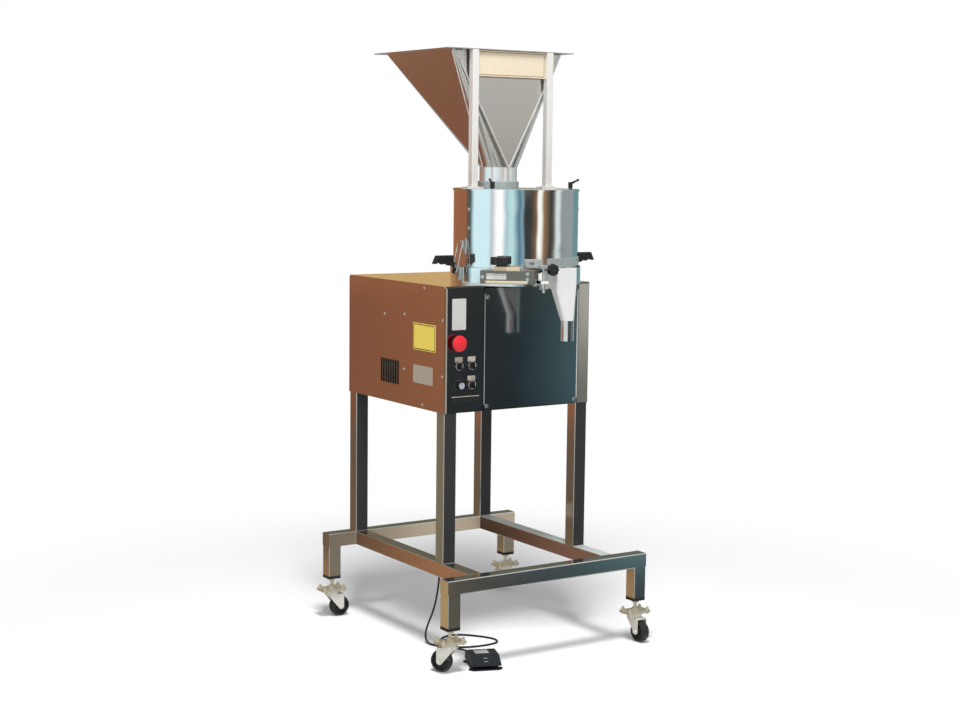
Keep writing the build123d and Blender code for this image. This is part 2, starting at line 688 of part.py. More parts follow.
def latch_handle(side):
    """Lever plate with its crank, and the finger grip as a second solid."""
    pivot = (LATCH_PIVOT_R, LATCH_PIVOT_Z)
    crank = (CRANK_R, CRANK_Z)
    plate = make_hull((Pos(*pivot) * Circle(8) + Pos(*crank) * Circle(6.5)).edges())
    plate += make_hull((Pos(*pivot) * Circle(8) + Pos(285, 1357) * Circle(6)).edges())
    lever = Pos(0, 4, 0) * extrude(Plane.XZ * plate, 8)
    for x, z in (pivot, crank):
        lever -= disc_y(x, z, -5, 5, HOOK_WIRE_R + RUN_FIT)
    with BuildSketch(Plane.XZ) as outline:
        with BuildLine():
            Polyline((262, 1340), (260, 1376), (328, 1376), (341, 1348), (334, 1347))
            ThreePointArc((334, 1347), (320, 1351), (306, 1345))
            ThreePointArc((306, 1345), (294, 1348), (282, 1341))
            Line((282, 1341), (262, 1340))
        make_face()
    grip = Pos(0, 10, 0) * extrude(outline.sketch, 20)
    grip = fillet(grip.edges().filter_by(Axis.Y, reverse=True).filter_by(GeomType.LINE), 4)
    return [to_side(lever - grip, side), to_side(grip, side)]


def latch_hook(side):
    """Wire hook: two legs from the crank up to a bar that sits in the keeper."""
    bar = (HOOK_BAR_R, HOOK_BAR_Z)
    wire = []
    for y in (-1, 1):
        path = FilletPolyline((CRANK_R, 0.5 * y, CRANK_Z), (CRANK_R, HOOK_HALF * y, CRANK_Z),
                              (bar[0], HOOK_HALF * y, bar[1]), (bar[0], 0, bar[1]), radius=5)
        profile = Plane(path @ 0, z_dir=path % 0) * Circle(HOOK_WIRE_R)
        wire.append(sweep(profile, path=path))
    return to_side(wire[0] + wire[1], side)


# Volume adjuster, wing nut and chute

def volume_bracket():
    """Folded bracket on the pan with the screw's guide block and a rounded ledge."""
    box = block(BRACKET_LEFT, BRACKET_RIGHT, BRACKET_FRONT, -200, BRACKET_LOW, BRACKET_HIGH)
    box -= block(BRACKET_LEFT + 3, BRACKET_RIGHT - 3, BRACKET_FRONT + 3, -190,
                 BRACKET_LOW + 3, BRACKET_HIGH - 3)
    box += block(-52, 35, BRACKET_FRONT + 3, -236, BRACKET_HIGH, BRACKET_HIGH + 14)
    box -= disc(ADJUSTER_X, ADJUSTER_Y, BRACKET_HIGH - 10, BRACKET_HIGH + 20, 6 + RUN_FIT)
    ledge = disc_x(BRACKET_FRONT, BRACKET_LOW + 5.5, -80, 58, 5.5)
    ledge += Pos(58, BRACKET_FRONT, BRACKET_LOW + 5.5) * Sphere(5.5)
    box += ledge & block(-90, 90, -290, BRACKET_FRONT + 1, 1200, 1400)
    return around(ADJUSTER_ANGLE) * (box - disc(0, 0, 1270, 1340, PAN_R))


def volume_knob():
    """Lobed hand knob, and its lifting screw as a second solid."""
    low = BRACKET_HIGH + 14.4
    head = Circle(24.5)
    for i in range(6):
        head += Rot(0, 0, 60 * i) * Pos(24.5, 0) * Circle(9)
    knob = Pos(0, 0, low + 6) * extrude(fillet(head.vertices(), 4), 26)
    knob = fillet(knob.edges().group_by(Axis.Z)[-1], 3)
    knob += disc(0, 0, low, low + 6, 14)
    knob -= disc(0, 0, low, low + 20, 6)
    screw = disc(0, 0, BRACKET_LOW + 4, low + 20, 6)
    place = around(ADJUSTER_ANGLE) * Pos(ADJUSTER_X, ADJUSTER_Y, 0)
    return [place * knob, place * screw]


def wing_nut():
    """Wing nut under the clamp lug."""
    nut = disc(0, 0, 1273, 1287.6, 9)
    wing = make_face(Polyline((6, 1274), (14, 1268), (22, 1270), (20, 1280), (8, 1286), (6, 1274)))
    for turn in (0, 180):
        nut += Rot(0, 0, turn) * Pos(0, 2, 0) * extrude(Plane.XZ * wing, 4)
    nut -= disc(0, 0, 1260, 1300, 5 + RUN_FIT)
    return around(CLAMP_ANGLE) * Pos(0, -CLAMP_R, 0) * Rot(0, 0, 25) * nut


def ring_loft(size_x, size_y, corner, top, bottom_r, bottom):
    """Square-to-round solid: flat sides that end on the circle, conical corners between them."""
    half_x = size_x / 2 - corner
    half_y = size_y / 2 - corner
    starts = [(half_x, half_y, 0), (-half_x, half_y, 90), (-half_x, -half_y, 180), (half_x, -half_y, 270)]
    upper = []
    lower = []
    sliver = 1.5
    for i, (x, y, turn) in enumerate(starts):
        arc = CenterArc((top[0] + x, top[1] + y, top[2]), corner, turn, 90)
        x2, y2, turn2 = starts[(i + 1) % 4]
        following = CenterArc((top[0] + x2, top[1] + y2, top[2]), corner, turn2, 90)
        upper += [arc, Line(arc @ 1, following @ 0)]
        lower += [CenterArc(bottom, bottom_r, turn + sliver, 90 - 2 * sliver)]
        lower += [CenterArc(bottom, bottom_r, turn + 90 - sliver, 2 * sliver)]
    return Solid.make_loft([Wire(upper), Wire(lower)], ruled=True)


def chute_form(grow):
    """Solid of the chute: slide under the cups, box in front of the pan, taper and round spout."""
    left = CHUTE_LEFT - grow
    right = CHUTE_RIGHT + grow
    front = CHUTE_FRONT - grow
    heel = CHUTE_HEEL + grow
    back = CHUTE_BACK + grow
    side = Polyline((front, CHUTE_TOP), (front, CHUTE_LOW), (heel, CHUTE_LOW),
                    (back, CHUTE_SLIDE_TOP - grow), (back, CHUTE_TOP), (front, CHUTE_TOP))
    form = Pos(left, 0, 0) * extrude(Plane.YZ * make_face(side), right - left)
    middle = ((left + right) / 2, (front + heel) / 2, CHUTE_LOW)
    outlet = (SPOUT_X, SPOUT_Y, SPOUT_TOP)
    form += ring_loft(right - left, heel - front, 3 + grow, middle, SPOUT_R + grow, outlet)
    return form + disc(SPOUT_X, SPOUT_Y, SPOUT_BOTTOM, SPOUT_TOP, SPOUT_R + grow)


def chute():
    """Discharge chute: thin walls, low inside the pan, with the ear for its clamp knob."""
    shell = chute_form(0) - chute_form(-2)
    shell -= disc(DRUM_X, DRUM_Y, 1312, 1400, PAN_R - 1)
    front = CHUTE_FRONT + 7.5
    shell += block(CHUTE_KNOB_X - 13, CHUTE_LEFT + 1, front, front + 3, CHUTE_KNOB_Z - 12, CHUTE_KNOB_Z + 12)
    return shell - disc_y(CHUTE_KNOB_X, CHUTE_KNOB_Z, front - 1, front + 4, 4.3)


def chute_knob():
    """Round clamp knob with its screw."""
    face = CHUTE_FRONT + 7.1
    knob = disc_y(0, 0, face - 6, face, 9)
    head = Circle(18)
    for i in range(8):
        head += Rot(0, 0, 45 * i) * Pos(17, 0) * Circle(3.4)
    knob += Pos(0, face - 6, 0) * Rot(90, 0, 0) * extrude(head, 18)
    knob += disc_y(0, 0, face - 1, face + 14, 4)
    return Pos(CHUTE_KNOB_X, 0, CHUTE_KNOB_Z) * knob


# Hopper

def hopper_form(grow):
    """Solid of the hopper from rim to neck."""
    size = RIM - 2 * RIM_FLANGE + 2 * grow
    top = (DRUM_X, RIM_Y, RIM_TOP)
    neck = (DRUM_X, NECK_Y, NECK_TOP)
    form = ring_loft(size, size, 8 + grow, top, NECK_R + grow, neck)
    return form + disc(DRUM_X, NECK_Y, LID_TOP + 1, NECK_TOP, NECK_R + grow)


def hopper():
    """Square-to-round hopper with a flat rim flange and its straight neck."""
    shell = hopper_form(0)
    rim = Pos(DRUM_X, RIM_Y, RIM_TOP - 3) * extrude(RectangleRounded(RIM, RIM, 4), 3)
    return shell + rim - hopper_form(-HOPPER_SHEET)


def hopper_collar():
    """Collar on the lid, with the feed tube that reaches down to the cups."""
    collar = disc(DRUM_X, NECK_Y, LID_TOP, COLLAR_TOP, COLLAR_R)
    collar = fillet(collar.edges().group_by(Axis.Z)[-1], 4)
    collar -= disc(DRUM_X, NECK_Y, LID_TOP + 1, COLLAR_TOP + 1, NECK_R)
    collar += disc(DRUM_X, NECK_Y, UPPER_PLATE + 16, LID_TOP + 1, NECK_R)
    return collar - disc(DRUM_X, NECK_Y, 1400, COLLAR_TOP + 1, NECK_R - HOPPER_SHEET)


def hopper_posts():
    """Two square posts with foot plates that hold the rim up."""
    result = []
    for side in (-1, 1):
        foot = Pos(0, 0, LID_TOP) * extrude(RectangleRounded(64, 44, 4), 5)
        tube = square_tube(POST, 1.8, 2, RIM_TOP - 3 - LID_TOP - 5)
        result.append(Pos(DRUM_X + side * POST_OFFSET, POST_Y, 0) * (foot + Pos(0, 0, LID_TOP + 5) * tube))
    return result


# Foot switch

def foot_place():
    """Place of the foot switch on the floor; local -Y is the toe end."""
    return Pos(FOOT_X, FOOT_Y, 0) * Rot(0, 0, FOOT_TURN)


def foot_base():
    """Cast floor plate with four ears, the switch box, side cheeks and the pedal's pin."""
    base = extrude(RectangleRounded(FOOT_WIDTH - 6, FOOT_LENGTH - 6, 8), 5)
    for y in (-46, 50):
        base += Pos(0, y, 0) * extrude(SlotOverall(FOOT_WIDTH + 16, 20), 5)
    base += block(-26, 26, -8, 62, 0, 24)
    for x in (-36, 30):
        cheek = make_face(Polyline((32, 0), (60, 0), (56, 30), (50, 34), (42, 34), (36, 30), (32, 0)))
        base += Pos(x, 0, 0) * extrude(Plane.YZ * cheek, 6)
    base += disc_x(PEDAL_PIN_Y, PEDAL_PIN_Z, 1 - FOOT_WIDTH / 2, FOOT_WIDTH / 2 - 1, 3.5)
    return foot_place() * base


def foot_pedal():
    """Hood-shaped treadle: steep toe, flat crown, hinged on the rear pin."""
    half = FOOT_WIDTH / 2
    outer = Polyline((62, 12), (60, 34), (48, 44), (-26, 45), (-66, 22), (-66, 16), (62, 12))
    inner = Polyline((72, 4), (56, 36), (46, 40), (-25, 41), (-64, 18.5), (-80, 4), (72, 4))
    hood = Pos(-half, 0, 0) * extrude(Plane.YZ * make_face(outer), 2 * half)
    hood = fillet(hood.edges().filter_by(Axis.X).group_by(Axis.Z)[-1], 5)
    hood -= Pos(5 - half, 0, 0) * extrude(Plane.YZ * make_face(inner), 2 * half - 10)
    return foot_place() * (hood - disc_x(PEDAL_PIN_Y, PEDAL_PIN_Z, -half, half, 3.5 + RUN_FIT))


def cord_glands():
    """Cable gland under the cabinet and the strain relief on the foot switch."""
    gland = Pos(GLAND_X, GLAND_Y, CAB_BOTTOM - 8) * extrude(RegularPolygon(13, 6), 8)
    gland += disc(GLAND_X, GLAND_Y, GLAND_END, CAB_BOTTOM - 8, 9)
    gland += disc(GLAND_X, GLAND_Y, CAB_BOTTOM, CAB_BOTTOM + 12, 7.5)
    relief = Pos(FOOT_CORD_X, 62, FOOT_CORD_Z) * Rot(-90, 0, 0) * Cone(
        6.5, 4.5, 25, align=(Align.CENTER, Align.CENTER, Align.MIN))
    return [gland, foot_place() * relief]


def cord():
    """Foot switch cord as one tube; each bend is as wide as its two runs allow."""
    entry = [foot_place() * Pos(FOOT_CORD_X, y, FOOT_CORD_Z) for y in (113, 87)]
    points = [Vector(*point) for point in CORD_POINTS] + [place.position for place in entry]
    radii = []
    for before, at, after in zip(points, points[1:], points[2:]):
        half_turn = math.radians((at - before).get_angle(after - at)) / 2
        radii.append(0.45 * min((at - before).length, (after - at).length) / math.tan(half_turn))
    path = FilletPolyline(*points, radius=radii)
    print("cord radii", [round(radius) for radius in radii], "length", round(path.length))
    profile = Plane(path @ 0, z_dir=path % 0) * Circle(CORD_R)
    tube = sweep(profile, path=path)
    straight = math.pi * CORD_R ** 2 * path.length
    print("cord volume over section times length", round(tube.volume / straight, 4))
    return tube


def all_parts():
    """Every node by name, as one shape or a list of separate solids."""
    parts = {
        "front_crossbar": crossbar(-BASE_LENGTH / 2),
        "rear_crossbar": crossbar(BASE_LENGTH / 2),
        "side_rails": side_rails(),
        "front_posts": posts(CAB_FRONT + TUBE / 2, CAB_BOTTOM, DECK_LOW),
        "rear_posts": posts(BASE_LENGTH / 2, DECK_LOW, DECK_LOW),
        "leg_caps": leg_caps(),
        "caster_mounts": caster_stems() + caster_plates(),
        "left_panel": side_panel(-1),
        "right_panel": side_panel(1),
        "rear_panel": rear_panel(),
        "bottom_panel": bottom_panel(),
        "deck": deck(),
        "control_panel": control_panel(),
        "front_cover": front_cover(),
        "operator_bodies": operator_bodies(),
        "stop_button": stop_button(),
        "selector_left": selector(COLUMN_LEFT, ROW_SELECT),
        "selector_right": selector(COLUMN_RIGHT, ROW_SELECT),
        "selector_lower": selector(COLUMN_RIGHT, ROW_LOWER),
        "dial_knob": dial_knob(),
        "gearbox": gearbox(),
        "motor": motor(),
        "rotor_shaft": rotor_shaft(),
        "shaft_bearing": shaft_bearing(),
        "drum_pan": drum_pan(),
        "drum_shell": drum_shell(),
        "drum_lid": drum_lid(),
        "upper_cups": upper_cups(),
        "lower_cups": lower_cups(),
        "discharge_plate": discharge_plate(),
        "levelling_blade": levelling_blade(),
        "latch_bases": [latch_base(-1), latch_base(1)],
        "latch_keepers": [latch_keeper(-1), latch_keeper(1)],
        "latch_handle_left": latch_handle(-1),
        "latch_handle_right": latch_handle(1),
        "latch_hook_left": latch_hook(-1),
        "latch_hook_right": latch_hook(1),
        "volume_bracket": volume_bracket(),
        "volume_knob": volume_knob(),
        "wing_nut": wing_nut(),
        "chute": chute(),
        "chute_knob": chute_knob(),
        "hopper": hopper(),
        "hopper_collar": hopper_collar(),
        "hopper_posts": hopper_posts(),
        "foot_base": foot_base(),
        "foot_pedal": foot_pedal(),
        "cord_glands": cord_glands(),
        "foot_cord": cord(),
    }
    for corner in CASTERS:
        parts["fork_" + corner] = fork(corner)
        parts["wheel_" + corner] = wheel(corner)
    for corner in LEVER_ANGLES:
        parts["lid_lever_" + corner] = lid_lever(corner)
    return parts


def main():
    """Write one file per node."""
    os.makedirs("parts", exist_ok=True)
    for name, shape in all_parts().items():
        solids = shape if isinstance(shape, list) else [shape]
        bodies = [solid for item in solids for solid in item.solids()]
        export_step(bodies[0] if len(bodies) == 1 else Compound(children=bodies), "parts/" + name + ".step")


if __name__ == "__main__":
    main()
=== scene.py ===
"""Looks of a cup filler on a caster stand: finishes, fittings, cord, studio and camera round its solids."""
from __future__ import annotations

import json
import logging
import math
from dataclasses import dataclass
from enum import Enum
from typing import Any, Callable, ClassVar, Iterable, Mapping, Sequence, Union

import bmesh
import bpy
from bmesh.types import BMesh, BMVert
from bpy.types import Mesh, MeshPolygon, NodeSocket, NodeTree, Object
from mathutils import Matrix, Vector

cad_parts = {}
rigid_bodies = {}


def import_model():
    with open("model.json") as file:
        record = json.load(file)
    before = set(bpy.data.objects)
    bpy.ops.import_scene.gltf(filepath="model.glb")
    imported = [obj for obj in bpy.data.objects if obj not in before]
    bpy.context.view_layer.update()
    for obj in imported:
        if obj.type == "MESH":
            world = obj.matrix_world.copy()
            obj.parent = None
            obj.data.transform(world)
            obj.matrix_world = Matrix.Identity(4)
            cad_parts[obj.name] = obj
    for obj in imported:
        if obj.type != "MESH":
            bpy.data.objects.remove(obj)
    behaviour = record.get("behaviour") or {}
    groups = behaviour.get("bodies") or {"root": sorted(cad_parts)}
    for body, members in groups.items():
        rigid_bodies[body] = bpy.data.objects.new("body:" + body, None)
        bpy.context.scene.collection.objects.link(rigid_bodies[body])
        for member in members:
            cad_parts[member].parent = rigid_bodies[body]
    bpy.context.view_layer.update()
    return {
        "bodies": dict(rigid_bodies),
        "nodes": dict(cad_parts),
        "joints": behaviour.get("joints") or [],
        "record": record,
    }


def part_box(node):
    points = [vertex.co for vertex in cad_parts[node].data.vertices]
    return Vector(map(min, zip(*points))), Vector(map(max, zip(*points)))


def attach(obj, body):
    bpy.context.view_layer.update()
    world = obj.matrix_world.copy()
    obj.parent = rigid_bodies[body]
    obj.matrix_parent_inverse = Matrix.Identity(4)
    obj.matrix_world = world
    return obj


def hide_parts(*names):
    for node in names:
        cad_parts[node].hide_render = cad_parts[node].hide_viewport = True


LOG = logging.getLogger("cup_filler")

Pair = tuple[float, float]
Triple = tuple[float, float, float]
Points = list[tuple[Triple, Triple]]
Nodes = Mapping[str, Object]
Rows = tuple[tuple[Any, ...], ...]
Test = Callable[[MeshPolygon], bool]
Repaints = Sequence[tuple[str, "Finish", Test]]
Feed = Union["Value", float, Sequence[float]]

NOISE_MEAN = 0.5
SQUARE_ON = 0.9
RIGHT: Triple = (1, 0, 0)
UP: Triple = (0, 0, 1)


class Body(str, Enum):
    """Bodies of the machine that carry added pieces."""

    STAND = "stand"
    DIAL = "dial_knob"
    SELECT_LEFT = "selector_left"
    SELECT_RIGHT = "selector_right"
    SELECT_LOWER = "selector_lower"
    PEDAL = "foot_pedal"


class Head(Enum):
    """Kinds of fastener head, as (sides, height over radius, top radius over radius)."""

    HEX = (6, 0.8, 0.92)
    PAN = (28, 0.55, 0.62)
    STUD = (16, 3.3, 0.94)


def rgb(red: int, green: int, blue: int) -> Triple:
    """Turn a colour picked on screen into scene values.

    Args:
        red, green, blue: Screen values from 0 to 255.

    Returns:
        The linear colour.
    """
    def linear(value: int) -> float:
        part = value / 255
        return part / 12.92 if part <= 0.04045 else ((part + 0.055) / 1.055) ** 2.4
    return linear(red), linear(green), linear(blue)


class Value:
    """A node's socket that takes part in Python arithmetic."""

    def __init__(self, shade: Shade, socket: NodeSocket) -> None:
        """Keep the socket and the tree under construction that it belongs to."""
        self.shade = shade
        self.socket = socket

    def _math(self, operation: str, *inputs: Feed) -> Value:
        """Add one Math node on two values or numbers and return its result."""
        return self.shade.node("ShaderNodeMath", dict(enumerate(inputs)), operation=operation)

    def __add__(self, other: Feed) -> Value:
        """Sum."""
        return self._math("ADD", self, other)

    __radd__ = __add__

    def __sub__(self, other: Feed) -> Value:
        """Difference."""
        return self._math("SUBTRACT", self, other)

    def __rsub__(self, other: Feed) -> Value:
        """Difference with a number first."""
        return self._math("SUBTRACT", other, self)

    def __mul__(self, other: Feed) -> Value:
        """Product."""
        return self._math("MULTIPLY", self, other)

    __rmul__ = __mul__

    def __truediv__(self, other: Feed) -> Value:
        """Quotient."""
        return self._math("DIVIDE", self, other)

    def bearing(self, other: Value) -> Value:
        """Angle of this value over the other, in radians."""
        return self._math("ARCTAN2", self, other)

    def larger(self, other: Feed) -> Value:
        """The larger of two values."""
        return self._math("MAXIMUM", self, other)


class Shade:
    """A node tree under construction."""

    def __init__(self, tree: NodeTree, frame: str = "") -> None:
        """Start from an empty tree and, where a frame is named, its coordinates."""
        self.tree = tree
        tree.nodes.clear()
        if frame:
            self.where = self.node("ShaderNodeTexCoord", out=frame)

    def node(self, kind: str, feeds: Mapping[Any, Any] | None = None, out: Any = 0, **settings: Any) -> Value:
        """Add any node.

        Args:
            kind: The node's type.
            feeds: Values or links of its sockets, by name or number.
            out: Name or number of the output to return.
            settings: The node's own settings; stops is a ramp's list of (place, colour).

        Returns:
            The chosen output, or the first input of a node that has no output.
        """
        node = self.tree.nodes.new(kind)
        for key, value in settings.items():
            if key == "stops":
                self._ramp(node.color_ramp, value)
            else:
                setattr(node, key, value)
        for key, value in (feeds or {}).items():
            if isinstance(value, Value):
                self.tree.links.new(value.socket, node.inputs[key])
            else:
                node.inputs[key].default_value = value
        return Value(self, node.outputs[out] if node.outputs else node.inputs[0])

    @staticmethod
    def _ramp(ramp: bpy.types.ColorRamp, stops: Sequence[tuple[float, Triple]]) -> None:
        """Fill a colour ramp with (place, colour) stops."""
        while len(ramp.elements) > 1:
            ramp.elements.remove(ramp.elements[-1])
        ramp.elements[0].position = stops[0][0]
        ramp.elements[0].color = (*stops[0][1], 1)
        for place, colour in stops[1:]:
            ramp.elements.new(place).color = (*colour, 1)

    def noise(self, scale: float, detail: float, stretch: Triple = (1, 1, 1)) -> Value:
        """Noise from 0 to 1 on stretched coordinates.

        Args:
            scale: Size of the noise, in features to the metre.
            detail: Number of octaves.
            stretch: Scale of each axis.

        Returns:
            The noise value.
        """
        spot = self.node("ShaderNodeMapping", {"Vector": self.where, "Scale": stretch})
        return self.node("ShaderNodeTexNoise", {"Vector": spot, "Scale": scale, "Detail": detail}, "Fac")

    def blend(self, amount: Feed, low: Feed, high: Feed) -> Value:
        """Mix of two colours by an amount."""
        def colour(item: Feed) -> Feed:
            return item if isinstance(item, Value) else (*item, 1)
        feeds = {0: amount, 6: colour(low), 7: colour(high)}
        return self.node("ShaderNodeMix", feeds, 2, data_type="RGBA")

    def step(self, value: Value, low: float, high: float) -> Value:
        """Smooth step of a value from 0 at low to 1 at high."""
        feeds = {"Value": value, "From Min": low, "From Max": high}
        return self.node("ShaderNodeMapRange", feeds, interpolation_type="SMOOTHSTEP")

    def relief(self, height: Value, strength: float, depth: float, under: Value | None = None) -> Value:
        """Bumped normal from a height, on top of another one where it is given."""
        feeds = {"Height": height, "Strength": strength, "Distance": depth}
        return self.node("ShaderNodeBump", {**feeds, "Normal": under} if under else feeds)

    def surface(self, tone: Value, roughness: Value, normal: Value, metal: Feed = 0.0) -> Value:
        """Shader of a colour, a roughness, a bumped normal and a share of metal."""
        return self.node("ShaderNodeBsdfPrincipled", {
            "Base Color": tone, "Metallic": metal, "Roughness": roughness, "Normal": normal})


@dataclass(frozen=True)
class Finish:
    """A surface finish that makes its material once."""

    name: str
    colour: Triple
    roughness: float

    def material(self) -> bpy.types.Material:
        """Return the finish's material, made on first use."""
        made = bpy.data.materials.get(self.name)
        if made:
            return made
        made = bpy.data.materials.new(self.name)
        made.use_nodes = True
        shade = Shade(made.node_tree, "Object")
        shade.node("ShaderNodeOutputMaterial", {"Surface": self.paint(shade)})
        return made

    def shaded(self, share: float) -> Triple:
        """Return a share of the colour."""
        red, green, blue = self.colour
        return share * red, share * green, share * blue

    def rough(self, *drifts: tuple[Value, float]) -> Feed:
        """Roughness that drifts with noises, each given with its strength."""
        total: Feed = self.roughness
        for noise, strength in drifts:
            total = total + (noise - NOISE_MEAN) * strength
        return total

    def paint(self, shade: Shade) -> Value:
        """Build the finish's shader in a tree and return its output."""
        raise NotImplementedError


@dataclass(frozen=True)
class Steel(Finish):
    """Stainless steel with a directional grain, hand smudges and faint colour drift."""

    grain: Triple = (420, 420, 5)
    streak: float = 0.05
    smudge: float = 0.06
    groove: float = 0.05
    ripple: float = 0.0

    def paint(self, shade: Shade) -> Value:
        """Grain in roughness and bump, clouds of smudges over it, ripples of a rolled sheet."""
        lines = shade.noise(scale=1.0, detail=5, stretch=self.grain)
        cloud = shade.noise(scale=5.5, detail=4)
        smear = cloud * shade.noise(scale=34, detail=3) - NOISE_MEAN ** 2
        rough = self.rough((lines, self.streak)) + smear * self.smudge
        tone = shade.blend(cloud * 0.6 + lines * 0.4, self.shaded(0.9), self.colour)
        normal = shade.relief(lines, self.groove, depth=0.0004)
        if self.ripple:
            normal = shade.relief(shade.noise(scale=8, detail=1), 1.0, self.ripple, normal)
        return shade.surface(tone, rough.larger(0.03), normal, metal=1.0)


@dataclass(frozen=True)
class Satin(Finish):
    """Blasted steel: an even, milky sheen with faint drag marks and finger clouds.

    Each fade is painted shade: an axis, where the colour is darkest and full along it, and the darkest share.
    """

    metal: float = 0.45
    fades: tuple[tuple[int, float, float, float], ...] = ()

    def paint(self, shade: Shade) -> Value:
        """Fine blasting in bump and roughness under soft clouds, with painted shade darker towards one end
        where it fades.
        """
        blast = shade.noise(scale=1300, detail=2)
        cloud = shade.noise(scale=9, detail=4)
        drag = shade.noise(scale=1.0, detail=4, stretch=(260, 260, 12))
        tone = shade.blend(cloud * 0.5 + drag * 0.5, self.shaded(0.86), self.colour)
        # Each fade paints shade that darkens the colour towards one end of an axis.
        for axis, low, high, share in self.fades:
            place = shade.node("ShaderNodeSeparateXYZ", {"Vector": shade.where}, axis)
            tone = shade.blend(shade.step(place, low, high), self.shaded(share), tone)
        normal = shade.relief(blast, strength=0.06, depth=0.0002)
        return shade.surface(tone, self.rough((blast, 0.1), (cloud, 0.12)), normal, self.metal)


@dataclass(frozen=True)
class Zinc(Finish):
    """Plated steel with a spangled, slightly yellow film and dull patches."""

    film: Triple = rgb(196, 170, 112)
    metal: float = 1.0

    def paint(self, shade: Shade) -> Value:
        """Cells of plating under a cloudy film."""
        spangle = shade.node("ShaderNodeTexVoronoi", {"Vector": shade.where, "Scale": 260.0}, "Color")
        cell = shade.node("ShaderNodeSeparateColor", {"Color": spangle}, 0)
        cloud = shade.noise(scale=40, detail=4)
        tone = shade.blend(cloud * 0.7 + cell * 0.2, self.colour, self.film)
        normal = shade.relief(shade.noise(scale=900, detail=2), strength=0.12, depth=0.0003)
        return shade.surface(tone, self.rough((cell, 0.12), (cloud, 0.1)), normal, self.metal)


@dataclass(frozen=True)
class Moulded(Finish):
    """Moulded plastic or rubber with a fine texture, clouds of dust and rubbed patches."""

    dust: Triple = rgb(96, 94, 90)
    dusty: float = 0.12
    texture: float = 1400.0
    depth: float = 0.2

    def paint(self, shade: Shade) -> Value:
        """Spark texture, with dust and wear in clouds."""
        cloud = shade.noise(scale=60, detail=4)
        tone = shade.blend(shade.step(cloud, 0.52, 0.8) * self.dusty, self.colour, self.dust)
        normal = shade.relief(shade.noise(self.texture, detail=2), self.depth, depth=0.0003)
        return shade.surface(tone, self.rough((cloud, 0.16)), normal)


@dataclass(frozen=True)
class Enamel(Finish):
    """Paint or print on a thin plate: a faint mottle, rubbed specks and a soft gloss."""

    worn: Triple = rgb(150, 146, 138)
    wear: float = 0.2

    def paint(self, shade: Shade) -> Value:
        """Mottled paint with small rubbed specks."""
        mottle = shade.noise(scale=90, detail=4)
        speck = shade.step(shade.noise(scale=520, detail=3), 0.66, 0.74)
        coat = shade.blend(mottle, self.shaded(0.88), self.colour)
        tone = shade.blend(speck * self.wear, coat, self.worn)
        normal = shade.relief(shade.noise(scale=700, detail=2), strength=0.06, depth=0.0002)
        return shade.surface(tone, self.rough((mottle, 0.15)), normal)


@dataclass(frozen=True)
class CastPaint(Finish):
    """Dark paint over a casting: pitted skin, chips that show bare metal."""

    bare: Triple = rgb(120, 122, 126)

    def paint(self, shade: Shade) -> Value:
        """Pitted skin with chips."""
        cloud = shade.noise(scale=26, detail=4)
        chip = shade.step(shade.noise(scale=210, detail=5), 0.7, 0.74)
        coat = shade.blend(cloud, self.colour, self.shaded(1.5))
        tone = shade.blend(chip * 0.7, coat, self.bare)
        normal = shade.relief(shade.noise(scale=420, detail=4), strength=0.3, depth=0.0005)
        return shade.surface(tone, self.rough((cloud, 0.2)), normal, metal=chip * 0.8)


DRUM_STEEL = Steel("drum polished steel", (0.80, 0.80, 0.79), 0.07, (4, 4, 700), 0.03, 0.05, 0.02, 0.002)
PANEL_STEEL = Steel("panel mirror sheet", (0.74, 0.73, 0.71), 0.09, (500, 500, 6), 0.03, 0.05, 0.015)
COVER_STEEL = Steel("front cover sheet", (0.45, 0.46, 0.47), 0.10, (500, 500, 6), 0.04, 0.06, 0.02)
DECK_STEEL = Steel("deck sheet", (0.76, 0.74, 0.70), 0.13, (6, 420, 420), 0.05, 0.07, 0.03)
HOPPER_STEEL = Steel("hopper sheet", (0.74, 0.72, 0.69), 0.2, (380, 380, 9), 0.06, 0.08, 0.04)
POST_STEEL = Steel("stand post brushed upright", (0.68, 0.67, 0.64), 0.09, (420, 420, 9), 0.05, 0.08, 0.03)
RAIL_STEEL = Steel("side rail brushed lengthways", (0.70, 0.69, 0.66), 0.12, (420, 9, 420), 0.06, 0.09, 0.03)
BAR_STEEL = Steel("crossbar brushed lengthways", (0.70, 0.70, 0.68), 0.09, (9, 420, 420), 0.05, 0.08, 0.03)
FITTING_STEEL = Steel("fitting steel", (0.77, 0.76, 0.74), 0.2, (240, 240, 60), 0.08, 0.1, 0.03)
# Dark base colour that paints the dark reflection on the bracket's front.
BRACKET_REFLECTION = Steel("adjuster bracket", (0.24, 0.22, 0.19), 0.28, (200, 200, 12), 0.1, 0.1, 0.03)
CHUTE_SATIN = Satin("chute satin steel", (0.92, 0.93, 0.92), 0.42)
POST_SATIN = Satin("hopper post satin steel", (0.86, 0.84, 0.80), 0.45)
# Edge strip tone: a painted highlight line on the cabinet's front corner.
EDGE_HIGHLIGHT = Satin("folded edge", (0.44, 0.42, 0.36), 0.4)
# Corner facing satin with painted shade, darker towards the bottom.
CORNER_SATIN = Satin("corner facing", (0.46, 0.44, 0.39), 0.38, fades=((2, 0.86, 1.24, 0.4),))
BAND_SATIN = Satin("drum band", (0.52, 0.56, 0.56), 0.34, 0.6)
COLLAR_SATIN = Satin("hopper collar", (0.44, 0.49, 0.49), 0.36, 0.6)
NECK_SATIN = Satin("hopper neck", (0.88, 0.90, 0.90), 0.22, 0.75)
# Bright rods along the hopper's folds and creases: painted highlights.
FOLD_HIGHLIGHT = Satin("hopper fold", (0.90, 0.90, 0.87), 0.3, 0.7)
# Painted shade on the front corner's fold.
FOLD_SHADE = Satin("panel fold", (0.20, 0.135, 0.085), 0.4)
